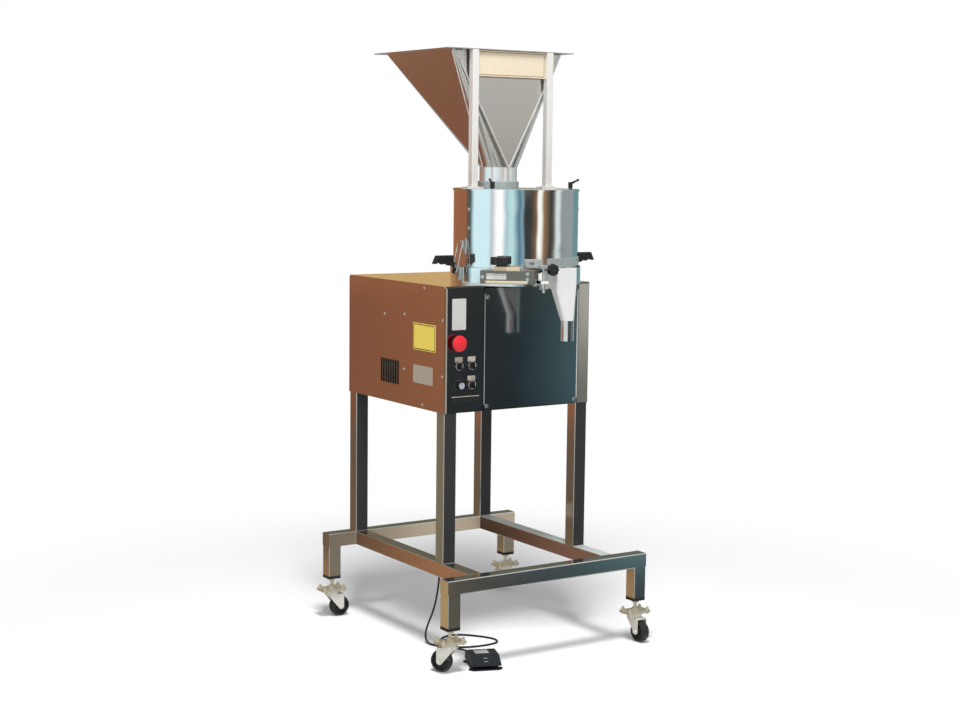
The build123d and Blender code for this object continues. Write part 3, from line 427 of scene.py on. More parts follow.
# Satin tones on the stand's tube faces are painted reflections of the room, and their fades add painted
# shade.
POST_FRONT_REFLECTION = Satin("post front", (0.048, 0.047, 0.050), 0.34)
POST_SIDE_REFLECTION = Satin("post side", (0.29, 0.265, 0.175), 0.36)
RAIL_LEFT_REFLECTION = Satin("left rail side", (0.50, 0.26, 0.13), 0.34, fades=((1, 0.40, -0.30, 0.50),))
RAIL_RIGHT_REFLECTION = Satin("right rail side", (0.30, 0.165, 0.11), 0.34, fades=((1, 0.40, -0.20, 0.30),))
RAIL_TOP_REFLECTION = Satin("right rail top", (0.60, 0.66, 0.64), 0.36, 0.15)
BAR_FRONT_REFLECTION = Satin("rear bar front", (0.72, 0.59, 0.43), 0.36, 0.15,
                ((2, 0.235, 0.285, 0.45), (0, -0.40, 0.05, 0.24)))
DIAL_SATIN = Satin("dial cap", (0.50, 0.52, 0.62), 0.35)
# Dark strips set in the vent slots paint the shade inside them.
VENT_SHADE = Satin("vent louvre", (0.085, 0.075, 0.060), 0.42)
# Gold tone that paints the reflection on the bracket's rounded ledge and guide block.
LEDGE_REFLECTION = Satin("adjuster ledge", (0.70, 0.60, 0.40), 0.4)
ZINC = Zinc("caster zinc", rgb(232, 230, 218), 0.34, rgb(224, 212, 178), 0.8)
FORK_ZINC = Zinc("caster fork zinc", rgb(226, 227, 222), 0.42, rgb(216, 213, 198), 0.3)
WELD_STEEL = Steel("weld bead", (0.56, 0.54, 0.50), 0.3, (300, 300, 300), 0.1, 0.12, 0.05)
CAST = Zinc("cast housing", rgb(140, 142, 146), 0.5, rgb(120, 122, 128))
BLACK_PLASTIC = Moulded("black plastic", rgb(26, 26, 28), 0.42)
GRIP_PLASTIC = Moulded("black grip", rgb(20, 20, 22), 0.5, texture=900.0, depth=0.3)
RED_PLASTIC = Moulded("red stop button", rgb(206, 28, 40), 0.3, rgb(150, 60, 60), 0.2, 1600.0, 0.05)
WHEEL_RUBBER = Moulded("wheel tread", rgb(30, 30, 31), 0.6, rgb(120, 116, 110), 0.35, 700.0, 0.4)
CORD_JACKET = Moulded("cord jacket", rgb(28, 28, 31), 0.5, rgb(110, 108, 104), 0.2, 1100.0, 0.2)
FOOT_PAINT = CastPaint("foot switch paint", rgb(22, 24, 29), 0.6)
YELLOW_PLATE = Enamel("yellow plate", rgb(246, 220, 96), 0.45, rgb(190, 160, 70))
GREY_PLATE = Enamel("grey plate", rgb(176, 164, 150), 0.38)
WHITE_PLATE = Enamel("white plate", rgb(184, 184, 180), 0.4, wear=0.1)
CREAM_PLATE = Enamel("cream plate", rgb(207, 193, 170), 0.4, rgb(196, 164, 118), 0.12)
BROWN_LINE = Enamel("plate border", rgb(120, 84, 50), 0.45)
BLACK_PRINT = Enamel("black print", rgb(24, 24, 26), 0.45, rgb(60, 60, 60), 0.1)


def put(name: str, data: bpy.types.ID) -> Object:
    """Put an object with its data into the scene and return it."""
    item = bpy.data.objects.new(name, data)
    bpy.context.scene.collection.objects.link(item)
    return item


def add_piece(name: str, mesh: Mesh, finish: Finish, body: Body = Body.STAND) -> None:
    """Put a finished mesh into the scene and on its body.

    Args:
        name: Name of the piece.
        mesh: Its mesh, in place.
        finish: Its surface finish.
        body: The body that it moves with.
    """
    piece = put(name, mesh)
    if not mesh.materials:
        mesh.materials.append(finish.material())
    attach(piece, body.value)
    LOG.info("%s on %s, %d faces", name, body.value, len(mesh.polygons))


def turned(axis: int, way: int, side: int = 0) -> Test:
    """Make a test for faces that are square to an axis.

    Args:
        axis: 0 to 2 for x to z.
        way: 1 or -1 along it.
        side: -1 for the machine's left half only, 1 for its right half only.

    Returns:
        The test.
    """
    def test(face: MeshPolygon) -> bool:
        return way * face.normal[axis] > SQUARE_ON and (not side or side * face.center.x > 0)
    return test


def as_mesh(name: str, form: BMesh) -> Mesh:
    """Turn a form into a named mesh."""
    mesh = bpy.data.meshes.new(name)
    form.to_mesh(mesh)
    form.free()
    return mesh


def baked(carrier: Object, name: str) -> Mesh:
    """Turn an object with its modifiers into a named plain mesh, and remove the object."""
    graph = bpy.context.evaluated_depsgraph_get()
    mesh = bpy.data.meshes.new_from_object(carrier.evaluated_get(graph))
    mesh.name = name
    bpy.data.objects.remove(carrier)
    return mesh


def tube(name: str, lines: Sequence[Sequence[Triple]], radius: float, kind: str, fineness: int) -> Object:
    """Put a curve with a round section into the scene.

    Args:
        name: Name of the object.
        lines: The points of each of its lines.
        radius: Radius of the section.
        kind: Type of its splines.
        fineness: Resolution of the section.

    Returns:
        The new object.
    """
    curve = bpy.data.curves.new(name, "CURVE")
    curve.dimensions = "3D"
    curve.bevel_depth = radius
    curve.bevel_resolution = fineness
    curve.use_fill_caps = True
    for places in lines:
        spline = curve.splines.new(kind)
        spline.points.add(len(places) - 1)
        for point, place in zip(spline.points, places):
            point.co = (*place, 1)
    return put(name, curve)


@dataclass(frozen=True)
class Plate:
    """A thin plate with round corners and, for a border, a rectangular window."""

    width: float
    height: float
    thick: float = 0.0008
    corner: float = 0.002
    window: Pair | None = None
    SOFT_EDGE: ClassVar[float] = 0.35
    INNER_CORNER: ClassVar[float] = 0.6
    CORNER_STEPS: ClassVar[int] = 4

    def add(self, name: str, finish: Finish, centre: Triple, across: Triple = RIGHT, upright: Triple = UP,
            body: Body = Body.STAND, slot: str | None = None) -> None:
        """Put the plate on a flat place of the machine.

        Args:
            name: Name of the piece.
            finish: Its surface finish.
            centre: The place.
            across, upright: Directions of its width and height.
            body: The body that it moves with.
            slot: Not used.
        """
        first, second = Vector(across).normalized(), Vector(upright).normalized()
        axes = Matrix((first, second, first.cross(second))).transposed().to_4x4()
        form = self._form()
        form.transform(Matrix.Translation(Vector(centre)) @ axes)
        add_piece(name, as_mesh(name, form), finish, body)

    def _form(self) -> BMesh:
        """Build the plate on its own axes, with a softened front edge."""
        form = bmesh.new()
        ring = self._outline(form, self.width, self.height, self.corner)
        if self.window:
            inner = self._outline(form, *self.window, self.corner * self.INNER_CORNER)
            quads = zip(ring, ring[1:] + ring[:1], inner[1:] + inner[:1], inner)
            faces = [form.faces.new(quad) for quad in quads]
        else:
            faces = [form.faces.new(ring)]
        grown = bmesh.ops.extrude_face_region(form, geom=faces)["geom"]
        lifted = [item for item in grown if isinstance(item, BMVert)]
        bmesh.ops.translate(form, verts=lifted, vec=(0, 0, self.thick))
        rim = [edge for edge in form.edges
               if all(vert in lifted for vert in edge.verts) and edge.calc_face_angle(0) > 0.5]
        bmesh.ops.bevel(form, geom=rim, offset=self.thick * self.SOFT_EDGE, segments=2, affect="EDGES")
        bmesh.ops.recalc_face_normals(form, faces=form.faces)
        return form

    def _outline(self, form: BMesh, width: float, height: float, corner: float) -> list[BMVert]:
        """Add the points of a rounded rectangle, anticlockwise, and return them."""
        points = []
        for sign_x, sign_y, start in ((1, 1, 0), (-1, 1, 90), (-1, -1, 180), (1, -1, 270)):
            for i in range(self.CORNER_STEPS + 1):
                turn = math.radians(start + 90 / self.CORNER_STEPS * i)
                points.append(form.verts.new((sign_x * (width / 2 - corner) + corner * math.cos(turn),
                                              sign_y * (height / 2 - corner) + corner * math.sin(turn), 0)))
        return points


class Repeat(Shade):
    """Geometry Nodes that set one small form on every point of a cloud."""

    title: str

    def __init__(self, finish: Finish, **sizes: float) -> None:
        """Build the tree with its named sizes."""
        super().__init__(bpy.data.node_groups.new(self.title + " " + finish.name, "GeometryNodeTree"))
        self.finish = finish
        self.sizes: dict[str, float] = {}
        for way in ("INPUT", "OUTPUT"):
            self.tree.interface.new_socket("Geometry", in_out=way, socket_type="NodeSocketGeometry")
        for size, value in sizes.items():
            socket = self.tree.interface.new_socket(size, in_out="INPUT", socket_type="NodeSocketFloat")
            self.sizes[socket.identifier] = value
        self._spread(self.form(*(self.node("NodeGroupInput", out=size) for size in sizes)))

    def form(self, *sizes: Value) -> Value:
        """Build the small form from the tree's sizes."""
        raise NotImplementedError

    def _spread(self, form: Value) -> None:
        """Set the form on the points, facing the way each point says, as plain mesh with its material."""
        facing = self.node("GeometryNodeInputNamedAttribute", {"Name": "facing"}, data_type="FLOAT_VECTOR")
        spread = self.node("GeometryNodeInstanceOnPoints", {
            "Points": self.node("NodeGroupInput", out="Geometry"), "Instance": form,
            "Rotation": self.node("FunctionNodeAlignRotationToVector", {"Vector": facing}, axis="Z")})
        solid = self.node("GeometryNodeRealizeInstances", {0: spread})
        painted = self.node("GeometryNodeSetMaterial", {
            "Geometry": solid, "Material": self.finish.material()})
        self.node("NodeGroupOutput", {0: painted})

    def add(self, name: str, points: Points, slot: str | None = None) -> None:
        """Run the tree on points and add the result as one piece of the stand.

        Args:
            name: Name of the piece.
            points: Places and the way each one faces.
            slot: Not used.
        """
        cloud = bpy.data.meshes.new(name + "_points")
        cloud.from_pydata([place for place, _ in points], [], [])
        facing = cloud.attributes.new("facing", "FLOAT_VECTOR", "POINT")
        for item, (_, way) in zip(facing.data, points):
            item.vector = way
        carrier = put(name + "_carrier", cloud)
        nodes = carrier.modifiers.new("repeat", "NODES")
        nodes.node_group = self.tree
        for identifier, value in self.sizes.items():
            nodes[identifier] = value
        add_piece(name, baked(carrier, name), self.finish)


class HeadTree(Repeat):
    """Fastener heads: a shaped head, a washer and, for studs, a nut, with sizes in head radii."""

    washer: Pair = (1.35, 0.22)
    nut: Pair = (1.95, 2.0)

    def __init__(self, head: Head, finish: Finish, radius: float) -> None:
        """Build the tree of one kind of head."""
        self.head = head
        self.title = "heads " + head.name.lower()
        super().__init__(finish, Radius=radius)

    def form(self, radius: Value) -> Value:
        """Join the head, the washer and the nut."""
        sides, tall, top = self.head.value
        parts = [self._cone(sides, radius * top, radius, radius * tall)]
        wide, deep = (radius * factor for factor in self.washer)
        parts.append(self.node("GeometryNodeMeshCylinder", {"Vertices": 28, "Radius": wide, "Depth": deep}))
        if self.head is Head.STUD:
            wide, deep = (radius * factor for factor in self.nut)
            parts.append(self._cone(6, wide, wide, deep))
        joined = self.node("GeometryNodeJoinGeometry")
        for part in parts:
            self.tree.links.new(part.socket, joined.socket.node.inputs[0])
        return joined

    def _cone(self, sides: int, top: Value, bottom: Value, depth: Value) -> Value:
        """Add a cone or a prism."""
        return self.node("GeometryNodeMeshCone", {
            "Vertices": sides, "Radius Top": top, "Radius Bottom": bottom, "Depth": depth})


class TickTree(Repeat):
    """Straight bars, each along its point's facing direction."""

    title = "ticks"

    def form(self, length: Value, width: Value, height: Value) -> Value:
        """Build one bar."""
        size = self.node("ShaderNodeCombineXYZ", {0: width, 1: height, 2: length})
        return self.node("GeometryNodeMeshCube", {"Size": size})


class BeadTree(Repeat):
    """Weld beads: flattened drops that overlap along a seam."""

    title = "beads"

    def form(self, radius: Value) -> Value:
        """Build one drop."""
        drop = self.node("GeometryNodeMeshUVSphere", {"Segments": 12, "Rings": 7, "Radius": radius})
        return self.node("GeometryNodeTransform", {"Geometry": drop, "Scale": (1, 1, 0.6)})


@dataclass(frozen=True)
class Axes:
    """Axes of a part that stands turned on the machine, with the turn in degrees."""

    x: float
    y: float
    turn: float

    def way(self, x: float, y: float, z: float = 0.0) -> Triple:
        """Direction from the part's own axes."""
        cosine, sine = math.cos(math.radians(self.turn)), math.sin(math.radians(self.turn))
        return x * cosine - y * sine, x * sine + y * cosine, z

    def spot(self, x: float, y: float, z: float) -> Triple:
        """Place from the part's own axes."""
        way = self.way(x, y)
        return self.x + way[0], self.y + way[1], z


class Group:
    """A sub-assembly with the finishes of its solids, whose names stand in one line for each finish."""

    finishes: ClassVar[Mapping[Finish, str]] = {}

    def repaints(self) -> Repaints:
        """Return the solids with another finish on some faces, with the test that picks the faces."""
        return ()

    def dress(self, nodes: Nodes) -> None:
        """Give the solids their finishes."""
        for finish, names in self.finishes.items():
            for name in names.split():
                nodes[name].data.materials.clear()
                nodes[name].data.materials.append(finish.material())
                LOG.info("%s in %s", name, finish.name)
        for name, finish, chosen in self.repaints():
            mesh = nodes[name].data
            mesh.materials.append(finish.material())
            for face in mesh.polygons:
                if chosen(face):
                    face.material_index = len(mesh.materials) - 1
            LOG.info("%s partly in %s", name, finish.name)


@dataclass
class Cabinet(Group):
    """Sheet-metal box: panels, deck, bare plates, dark strips of painted shade in the vent slots, and screws.
    """

    side_face: float = -0.304
    front_face: float = -0.226
    post_face: float = -0.224
    rear_face: float = 0.4444
    along_side: Triple = (0, -1, 0)
    edge_middle: float = 1.0555
    # Edge strips that paint the lines of highlight and shade along the front corner and the cover's edges.
    edges: Rows = (
        ("corner_edge", EDGE_HIGHLIGHT, -0.2968, 0.0052, 0.428),
        ("corner_fold", FOLD_SHADE, -0.3016, 0.0040, 0.428),
        ("cover_edge_left", BAND_SATIN, -0.1418, 0.0028, 0.386),
        ("cover_edge_right", POST_SATIN, 0.2522, 0.0034, 0.386))
    side_screws: tuple[Pair, ...] = (
        (0.184, 1.152), (0.043, 1.162), (-0.210, 1.160), (0.044, 0.967), (-0.210, 0.967), (-0.081, 0.855),
        (-0.089, 1.262))
    rear_columns: Triple = (-0.270, 0.0, 0.270)
    rear_rows: Triple = (0.870, 1.056, 1.245)
    cover_columns: Pair = (-0.130, 0.244)
    cover_rows: Pair = (1.235, 0.857)
    vent_first: float = 0.0925
    vent_pitch: float = 0.017
    vent_middle: float = 0.950
    vent_slot_count: int = 7
    finishes = {
        PANEL_STEEL: "left_panel right_panel rear_panel bottom_panel",
        COVER_STEEL: "control_panel front_cover", DECK_STEEL: "deck", CAST: "gearbox motor shaft_bearing"}

    def build(self) -> None:
        """Add the bare plates, the edge strips of painted highlight and shade, the dark strips of painted
        shade in the vent slots and every row of screws.
        """
        left, front, along = self.side_face, self.front_face, self.along_side
        yellow = Plate(0.148, 0.094, corner=0.004)
        yellow.add("side_plate_yellow", YELLOW_PLATE, (left, -0.093, 1.092), along)
        rim = Plate(0.142, 0.088, 0.0003, 0.003, (0.137, 0.083))
        rim.add("side_plate_yellow_rim", BLACK_PRINT, (left - yellow.thick, -0.093, 1.092), along)
        Plate(0.128, 0.063, corner=0.003).add("side_plate_grey", GREY_PLATE, (left, -0.085, 0.960), along)
        # Thin strips that paint highlight and shade lines along the folded edges.
        for name, finish, x, wide, tall in self.edges:
            place = (x, front, self.edge_middle)
            Plate(wide, tall, 0.0007, 0.001).add(name, finish, place, slot="panel_steel")
        # Right corner facing; its finish paints shade darker towards the bottom.
        corner = Plate(0.0450, 0.427, 0.0022, 0.001)
        corner.add("right_corner_face", CORNER_SATIN, (0.2795, self.post_face, 1.0560), slot="panel_steel")
        # Dark strips in the vent slots: painted shade.
        shade_places = [((x, self.vent_first + self.vent_pitch * i, self.vent_middle), UP)
                for x in (left, -left) for i in range(self.vent_slot_count)]
        shading = TickTree(VENT_SHADE, Length=0.084, Width=0.0016, Height=0.0076)
        shading.add("vent_louvres", shade_places, "panel_steel")
        screws: Points = []
        for y, z in self.side_screws:
            screws += [((left, y, z), (-1, 0, 0)), ((-left, y, z), (1, 0, 0))]
        screws += [((x, self.rear_face, z), (0, 1, 0)) for x in self.rear_columns for z in self.rear_rows]
        HeadTree(Head.PAN, FITTING_STEEL, 0.0048).add("panel_screws", screws, "drum_steel")
        bolts = [((x, front, z), (0, -1, 0)) for x in self.cover_columns for z in self.cover_rows]
        HeadTree(Head.HEX, FITTING_STEEL, 0.0060).add("cover_bolts", bolts, "drum_steel")


@dataclass
class Controls(Group):
    """Operators on the control panel with their plates and marks.

    A row is a name, a finish, a plate, a place on the panel or over an operator, a lift and a slot.
    """

    face: float = -0.226
    left: float = -0.247
    right: float = -0.195
    select_row: float = 1.003
    lower_row: float = 0.937
    dial_top: float = 0.0220
    marks_radius: float = 0.0168
    marks_lift: float = 0.0013
    marks_count: int = 11
    marks_start: float = -140.0
    marks_step: float = 28.0
    labels: Rows = (
        ("label_plate_white", WHITE_PLATE, Plate(0.056, 0.107), -0.247, 1.180, 0),
        ("label_strip_black", BLACK_PRINT, Plate(0.052, 0.022), -0.245, 1.247, 0),
        ("label_strip_low", BLACK_PRINT, Plate(0.116, 0.022, 0.0006, 0.001), -0.219, 0.889, 0),
        ("label_strip_line", GREY_PLATE, Plate(0.112, 0.0026, 0.0002, 0.0006), -0.219, 0.8965, 0.0006))
    selector: Rows = (
        ("legend_", BLACK_PRINT, Plate(0.036, 0.050, 0.0006, 0.003, (0.0302, 0.0302)), 0.006, 0, None),
        ("legend_tab_", GREY_PLATE, Plate(0.031, 0.0165, 0.0004, 0.001), 0.0222, 0.0006, None),
        ("bezel_ring_", CHUTE_SATIN, Plate(0.03, 0.03, 0.0012, 0.01499, (0.0262, 0.0262)), 0, 0.006,
         "drum_steel"),
        ("pointer_", WHITE_PLATE, Plate(0.0018, 0.013, 0.0004, 0.0006), 0.004, 0.0270, None))
    dial_plate: Plate = Plate(0.042, 0.042, 0.0012, 0.003, (0.0104, 0.0104))
    dial_cap: Plate = Plate(0.0226, 0.0226, 0.0010, 0.01129)
    dial_line: Plate = Plate(0.0010, 0.0066, 0.0003, 0.0004)
    finishes = {BLACK_PLASTIC: "operator_bodies selector_left selector_right selector_lower dial_knob",
                RED_PLASTIC: "stop_button"}

    def front(self, x: float, z: float, lift: float = 0.0) -> Triple:
        """Place on the panel's face, lifted outwards."""
        return x, self.face - lift, z

    def build(self) -> None:
        """Add bare label plates, legend plates, the dial and the pointers."""
        for name, finish, plate, x, z, lift in self.labels:
            plate.add(name, finish, self.front(x, z, lift))
        for body, x, z in ((Body.SELECT_LEFT, self.left, self.select_row),
                           (Body.SELECT_RIGHT, self.right, self.select_row),
                           (Body.SELECT_LOWER, self.right, self.lower_row)):
            for name, finish, plate, rise, lift, slot in self.selector:
                carrier = body if name == "pointer_" else Body.STAND
                plate.add(name + body.value, finish, self.front(x, z + rise, lift), body=carrier, slot=slot)
        self.dial_plate.add("dial_plate", BLACK_PRINT, self.front(self.left, self.lower_row))
        self._dial_marks()
        cap = self.front(self.left, self.lower_row, self.dial_top)
        self.dial_cap.add("dial_cap", DIAL_SATIN, cap, body=Body.DIAL, slot="drum_steel")
        tip = self.front(self.left, self.lower_row + 0.0066, self.dial_top + self.dial_cap.thick)
        self.dial_line.add("dial_line", BLACK_PRINT, tip, body=Body.DIAL)

    def _dial_marks(self) -> None:
        """Add the ring of marks on the dial plate."""
        marks: Points = []
        for i in range(self.marks_count):
            turn = math.radians(self.marks_start + self.marks_step * i)
            way = (math.sin(turn), 0.0, math.cos(turn))
            marks.append((self.front(self.left + self.marks_radius * way[0],
                                     self.lower_row + self.marks_radius * way[2], self.marks_lift), way))
        TickTree(WHITE_PLATE, Length=0.0034, Width=0.0007, Height=0.0004).add("dial_marks", marks)


@dataclass
class Stand(Group):
    """Welded tube stand on casters."""

    leg_x: float = 0.3906
    leg_y: float = 0.417
    bolt_x: float = 0.0375
    bolt_y: float = 0.022
    plate_top: float = 0.108
    plate_low: float = 0.100
    tube: float = 0.0508
    rail_top: float = 0.318
    bead_radius: float = 0.0022
    bead_pitch: float = 1.25
    seam_end: float = 0.005

    finishes = {
        POST_STEEL: "front_posts rear_posts", RAIL_STEEL: "side_rails",
        BAR_STEEL: "front_crossbar rear_crossbar", BLACK_PLASTIC: "leg_caps", ZINC: "caster_mounts",
        FORK_ZINC: "fork_front_left fork_front_right fork_rear_left fork_rear_right",
        WHEEL_RUBBER: "wheel_front_left wheel_front_right wheel_rear_left wheel_rear_right"}

    def repaints(self) -> Repaints:
        """Return the tubes' faces that carry painted reflections of another part of the room."""
        ahead, left, right = turned(1, -1), turned(0, -1, -1), turned(0, -1, 1)
        return (("front_posts", POST_FRONT_REFLECTION, ahead), ("rear_posts", POST_FRONT_REFLECTION, ahead),
                ("front_posts", POST_SIDE_REFLECTION, left), ("side_rails", RAIL_LEFT_REFLECTION, left),
                ("side_rails", RAIL_RIGHT_REFLECTION, right), ("side_rails", RAIL_TOP_REFLECTION, turned(2, 1, 1)),
                ("rear_crossbar", BAR_FRONT_REFLECTION, ahead))

    def build(self) -> None:
        """Add the bolts that hold the casters to their plates, and the welds."""
        spots = [(x + dx, y + dy) for x in (-self.leg_x, self.leg_x) for y in (-self.leg_y, self.leg_y)
                 for dx in (-self.bolt_x, self.bolt_x) for dy in (-self.bolt_y, self.bolt_y)]
        above = [((*spot, self.plate_top), UP) for spot in spots]
        HeadTree(Head.STUD, ZINC, 0.0039).add("caster_studs", above, "zinc")
        below = [((*spot, self.plate_low), (0, 0, -1)) for spot in spots]
        HeadTree(Head.HEX, ZINC, 0.0062).add("caster_bolt_heads", below, "zinc")
        BeadTree(WELD_STEEL, Radius=self.bead_radius).add("weld_beads", self._welds(), "stand_steel")

    def _seam(self, middle: Triple, along: Triple, facing: Triple) -> Points:
        """Place the beads of one straight weld.

        Args:
            middle: The middle of the weld.
            along: Its direction.
            facing: The way its beads face.

        Returns:
            The place of every bead and the way it faces.
        """
        half = self.tube / 2 - self.seam_end
        count = round(2 * half / self.bead_radius / self.bead_pitch)
        offsets = [half * (2 * i / count - 1) for i in range(count + 1)]
        return [(tuple(Vector(middle) + Vector(along) * offset), facing) for offset in offsets]

    def _welds(self) -> Points:
        """Place the beads where posts, rails and legs meet square to another tube."""
        beads: Points = []
        for name in ("front_posts", "rear_posts"):
            low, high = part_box(name)
            for x in (low[0] + self.tube / 2, high[0] - self.tube / 2):
                for y, way in ((low[1], -1), (high[1], 1)):
                    beads += self._seam((x, y, self.rail_top), (1, 0, 0), (0, way, 1))
        low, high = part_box("side_rails")
        for x, way in ((low[0], -1), (low[0] + self.tube, 1), (high[0] - self.tube, -1), (high[0], 1)):
            for y, inward in ((low[1], 1), (high[1], -1)):
                beads += self._seam((x, y, self.rail_top - self.tube / 2), (0, 0, 1), (way, inward, 0))
        for side in (-1, 1):
            for y in (-self.leg_y, self.leg_y):
                inner = side * (self.leg_x - self.tube / 2)
                beads += self._seam((inner, y, self.rail_top - self.tube), (0, 1, 0), (-side, 0, -1))
        return beads


@dataclass
class Drum(Group):
    """Polished drum with its clamps, latches, adjuster and chute."""

    centre: Pair = (0.045, -0.132)
    shell_radius: float = 0.2196
    screw_radius: float = 0.219
    spout_top: float = 1.1605
    adjuster_turn: float = -38.5
    bracket_front: float = -0.266
    block_low: float = 1.3316
    scale_side: float = -0.044
    scale_z: float = 1.312
    marks_top: float = 1.3205
    marks_first: float = 0.030
    marks_pitch: float = 0.005
    marks_count: int = 13
    mark_width: float = 0.0009
    bracket_screws: tuple[Pair, ...] = ((0.062, 1.322), (-0.091, 1.310), (0.062, 1.303))
    shell_screws: tuple[Pair, ...] = (
        (-82.0, 1.534), (-82.0, 1.470), (60.0, 1.534), (150.0, 1.534), (-150.0, 1.534))
    finishes = {
        DRUM_STEEL: "drum_pan drum_shell drum_lid upper_cups lower_cups discharge_plate levelling_blade "
                    "rotor_shaft",
        COLLAR_SATIN: "hopper_collar", BRACKET_REFLECTION: "volume_bracket", CHUTE_SATIN: "chute",
        FITTING_STEEL: "latch_bases latch_keepers latch_hook_left latch_hook_right wing_nut",
        BLACK_PLASTIC: "volume_knob chute_knob lid_lever_front_left lid_lever_front_right lid_lever_rear",
        GRIP_PLASTIC: "latch_handle_left latch_handle_right"}

    def on_ledge(self, face: MeshPolygon) -> bool:
        """Tell whether a face of the bracket is on its rounded ledge or its guide block."""
        place = face.center
        angle = math.radians(self.adjuster_turn)
        out = (place.x - self.centre[0]) * math.sin(angle) - (place.y - self.centre[1]) * math.cos(angle)
        return out > 0.0004 - self.bracket_front or place.z > self.block_low

    def outside_shell(self, face: MeshPolygon) -> bool:
        """Tell whether a face lies outside the shell's round wall, as its band and lugs do."""
        return math.hypot(face.center.x - self.centre[0], face.center.y - self.centre[1]) > self.shell_radius

    # The chute's side turned to the cover is polished so that it renders dark: painted shade for the chute's
    # image in the cover.
    def polished_chute(self, face: MeshPolygon) -> bool:
        """Tell whether a face of the chute is on the spout or turned to the cover."""
        return face.center.z < self.spout_top or face.normal.y > 0.3

    def repaints(self) -> Repaints:
        """Return the band, the ledge with its painted reflection, and the polished spout and side of the
        chute, the side polished so that it renders dark as painted shade.
        """
        return (("drum_shell", BAND_SATIN, self.outside_shell),
                ("volume_bracket", LEDGE_REFLECTION, self.on_ledge), ("chute", DRUM_STEEL, self.polished_chute))

    def build(self) -> None:
        """Add the scale plate with its marks and the small screws."""
        axes, front = Axes(*self.centre, self.adjuster_turn), self.bracket_front
        middle = axes.spot(self.scale_side, front, self.scale_z)
        Plate(0.068, 0.020, corner=0.0015).add("scale_plate", WHITE_PLATE, middle, axes.way(1, 0))
        for name, tall, third in (("scale_marks_short", 0.004, False), ("scale_marks_long", 0.0065, True)):
            sides = [self.scale_side - self.marks_first + self.marks_pitch * i
                     for i in range(self.marks_count) if (i % 3 == 0) is third]
            wide, top = self.mark_width, self.marks_top
            marks = [(axes.spot(side, front - wide, top - tall / 2), UP) for side in sides]
            TickTree(BLACK_PRINT, Length=tall, Width=wide, Height=wide).add(name, marks)
        screws = [(axes.spot(side, front, z), axes.way(0, -1)) for side, z in self.bracket_screws]
        HeadTree(Head.PAN, FITTING_STEEL, 0.0042).add("bracket_screws", screws, "drum_steel")
        screws = [(axes.spot(0, -self.screw_radius, z), axes.way(0, -1))
                  for axes, z in ((Axes(*self.centre, turn), z) for turn, z in self.shell_screws)]
        HeadTree(Head.PAN, FITTING_STEEL, 0.0055).add("shell_screws", screws, "drum_steel")


@dataclass
class Hopper(Group):
    """Sheet hopper on two posts, with a bare cream plate between them."""

    centre_x: float = 0.045
    post_offset: float = 0.157
    post_y: float = -0.095
    foot_top: float = 1.610
    foot_bolt: float = 0.024
    rim_top: float = 2.085
    rim_y: float = 0.159
    rim_half: float = 0.2235
    rim_corner: float = 0.008
    neck_y: float = -0.016
    neck_top: float = 1.678
    neck_radius: float = 0.067
    neck_gap: float = 1.5
    crease_start: float = 0.02
    plate_y: float = -0.092
    plate_z: float = 2.036
    front_corners: Pair = (180.0, 270.0)
    finishes = {HOPPER_STEEL: "hopper", POST_SATIN: "hopper_posts"}

    def on_neck(self, face: MeshPolygon) -> bool:
        """Tell whether a face of the hopper is on its round neck."""
        return face.center.z < self.neck_top

    def crease(self, turn: float, share: float) -> tuple[Triple, Triple]:
        """Line of a crease of a conical corner, from the rim to the neck.

        Args:
            turn: Bearing of the corner's first edge, in degrees.
            share: Place of the crease across the corner, from 0 to 1.

        Returns:
            The upper and the lower end.
        """
        above = math.radians(turn + 90 * share)
        below = math.radians(turn + self.neck_gap + (90 - 2 * self.neck_gap) * share)
        middle = math.radians(turn + 45)
        side = math.copysign(self.rim_half, math.cos(middle))
        depth = math.copysign(self.rim_half, math.sin(middle))
        upper = Vector((self.centre_x + side + self.rim_corner * math.cos(above),
                        self.rim_y + depth + self.rim_corner * math.sin(above), self.rim_top))
        lower = Vector((self.centre_x + self.neck_radius * math.cos(below),
                        self.neck_y + self.neck_radius * math.sin(below), self.neck_top))
        return tuple(upper.lerp(lower, self.crease_start)), tuple(lower)

    def repaints(self) -> Repaints:
        """Return the neck."""
        return (("hopper", NECK_SATIN, self.on_neck),)

    def build(self) -> None:
        """Add bright rods that paint highlights along the folds and creases, the plate with its border, and
        the bolts.
        """
        # Folds and creases get bright rods: painted highlights.
        for name, shares, radius in (("hopper_folds", (0.0, 1.0), 0.0028),
                                     ("hopper_creases", (0.36, 0.68), 0.0014)):
            lines = [self.crease(turn, share) for turn in self.front_corners for share in shares]
            rods = tube(name + "_lines", lines, radius, "POLY", 3)
            add_piece(name, baked(rods, name), FOLD_HIGHLIGHT)
        bare = Plate(0.2884, 0.090, 0.0020)
        bare.add("name_plate_bare", CREAM_PLATE, (self.centre_x, self.plate_y, self.plate_z))
        Plate(0.278, 0.080, 0.0003, window=(0.274, 0.076)).add(
            "name_plate_border", BROWN_LINE, (self.centre_x, self.plate_y - bare.thick, self.plate_z))
        feet = [((self.centre_x + side * self.post_offset + dx, self.post_y, self.foot_top), UP)
                for side in (-1, 1) for dx in (-self.foot_bolt, self.foot_bolt)]
        HeadTree(Head.HEX, FITTING_STEEL, 0.0036).add("hopper_feet_bolts", feet, "drum_steel")


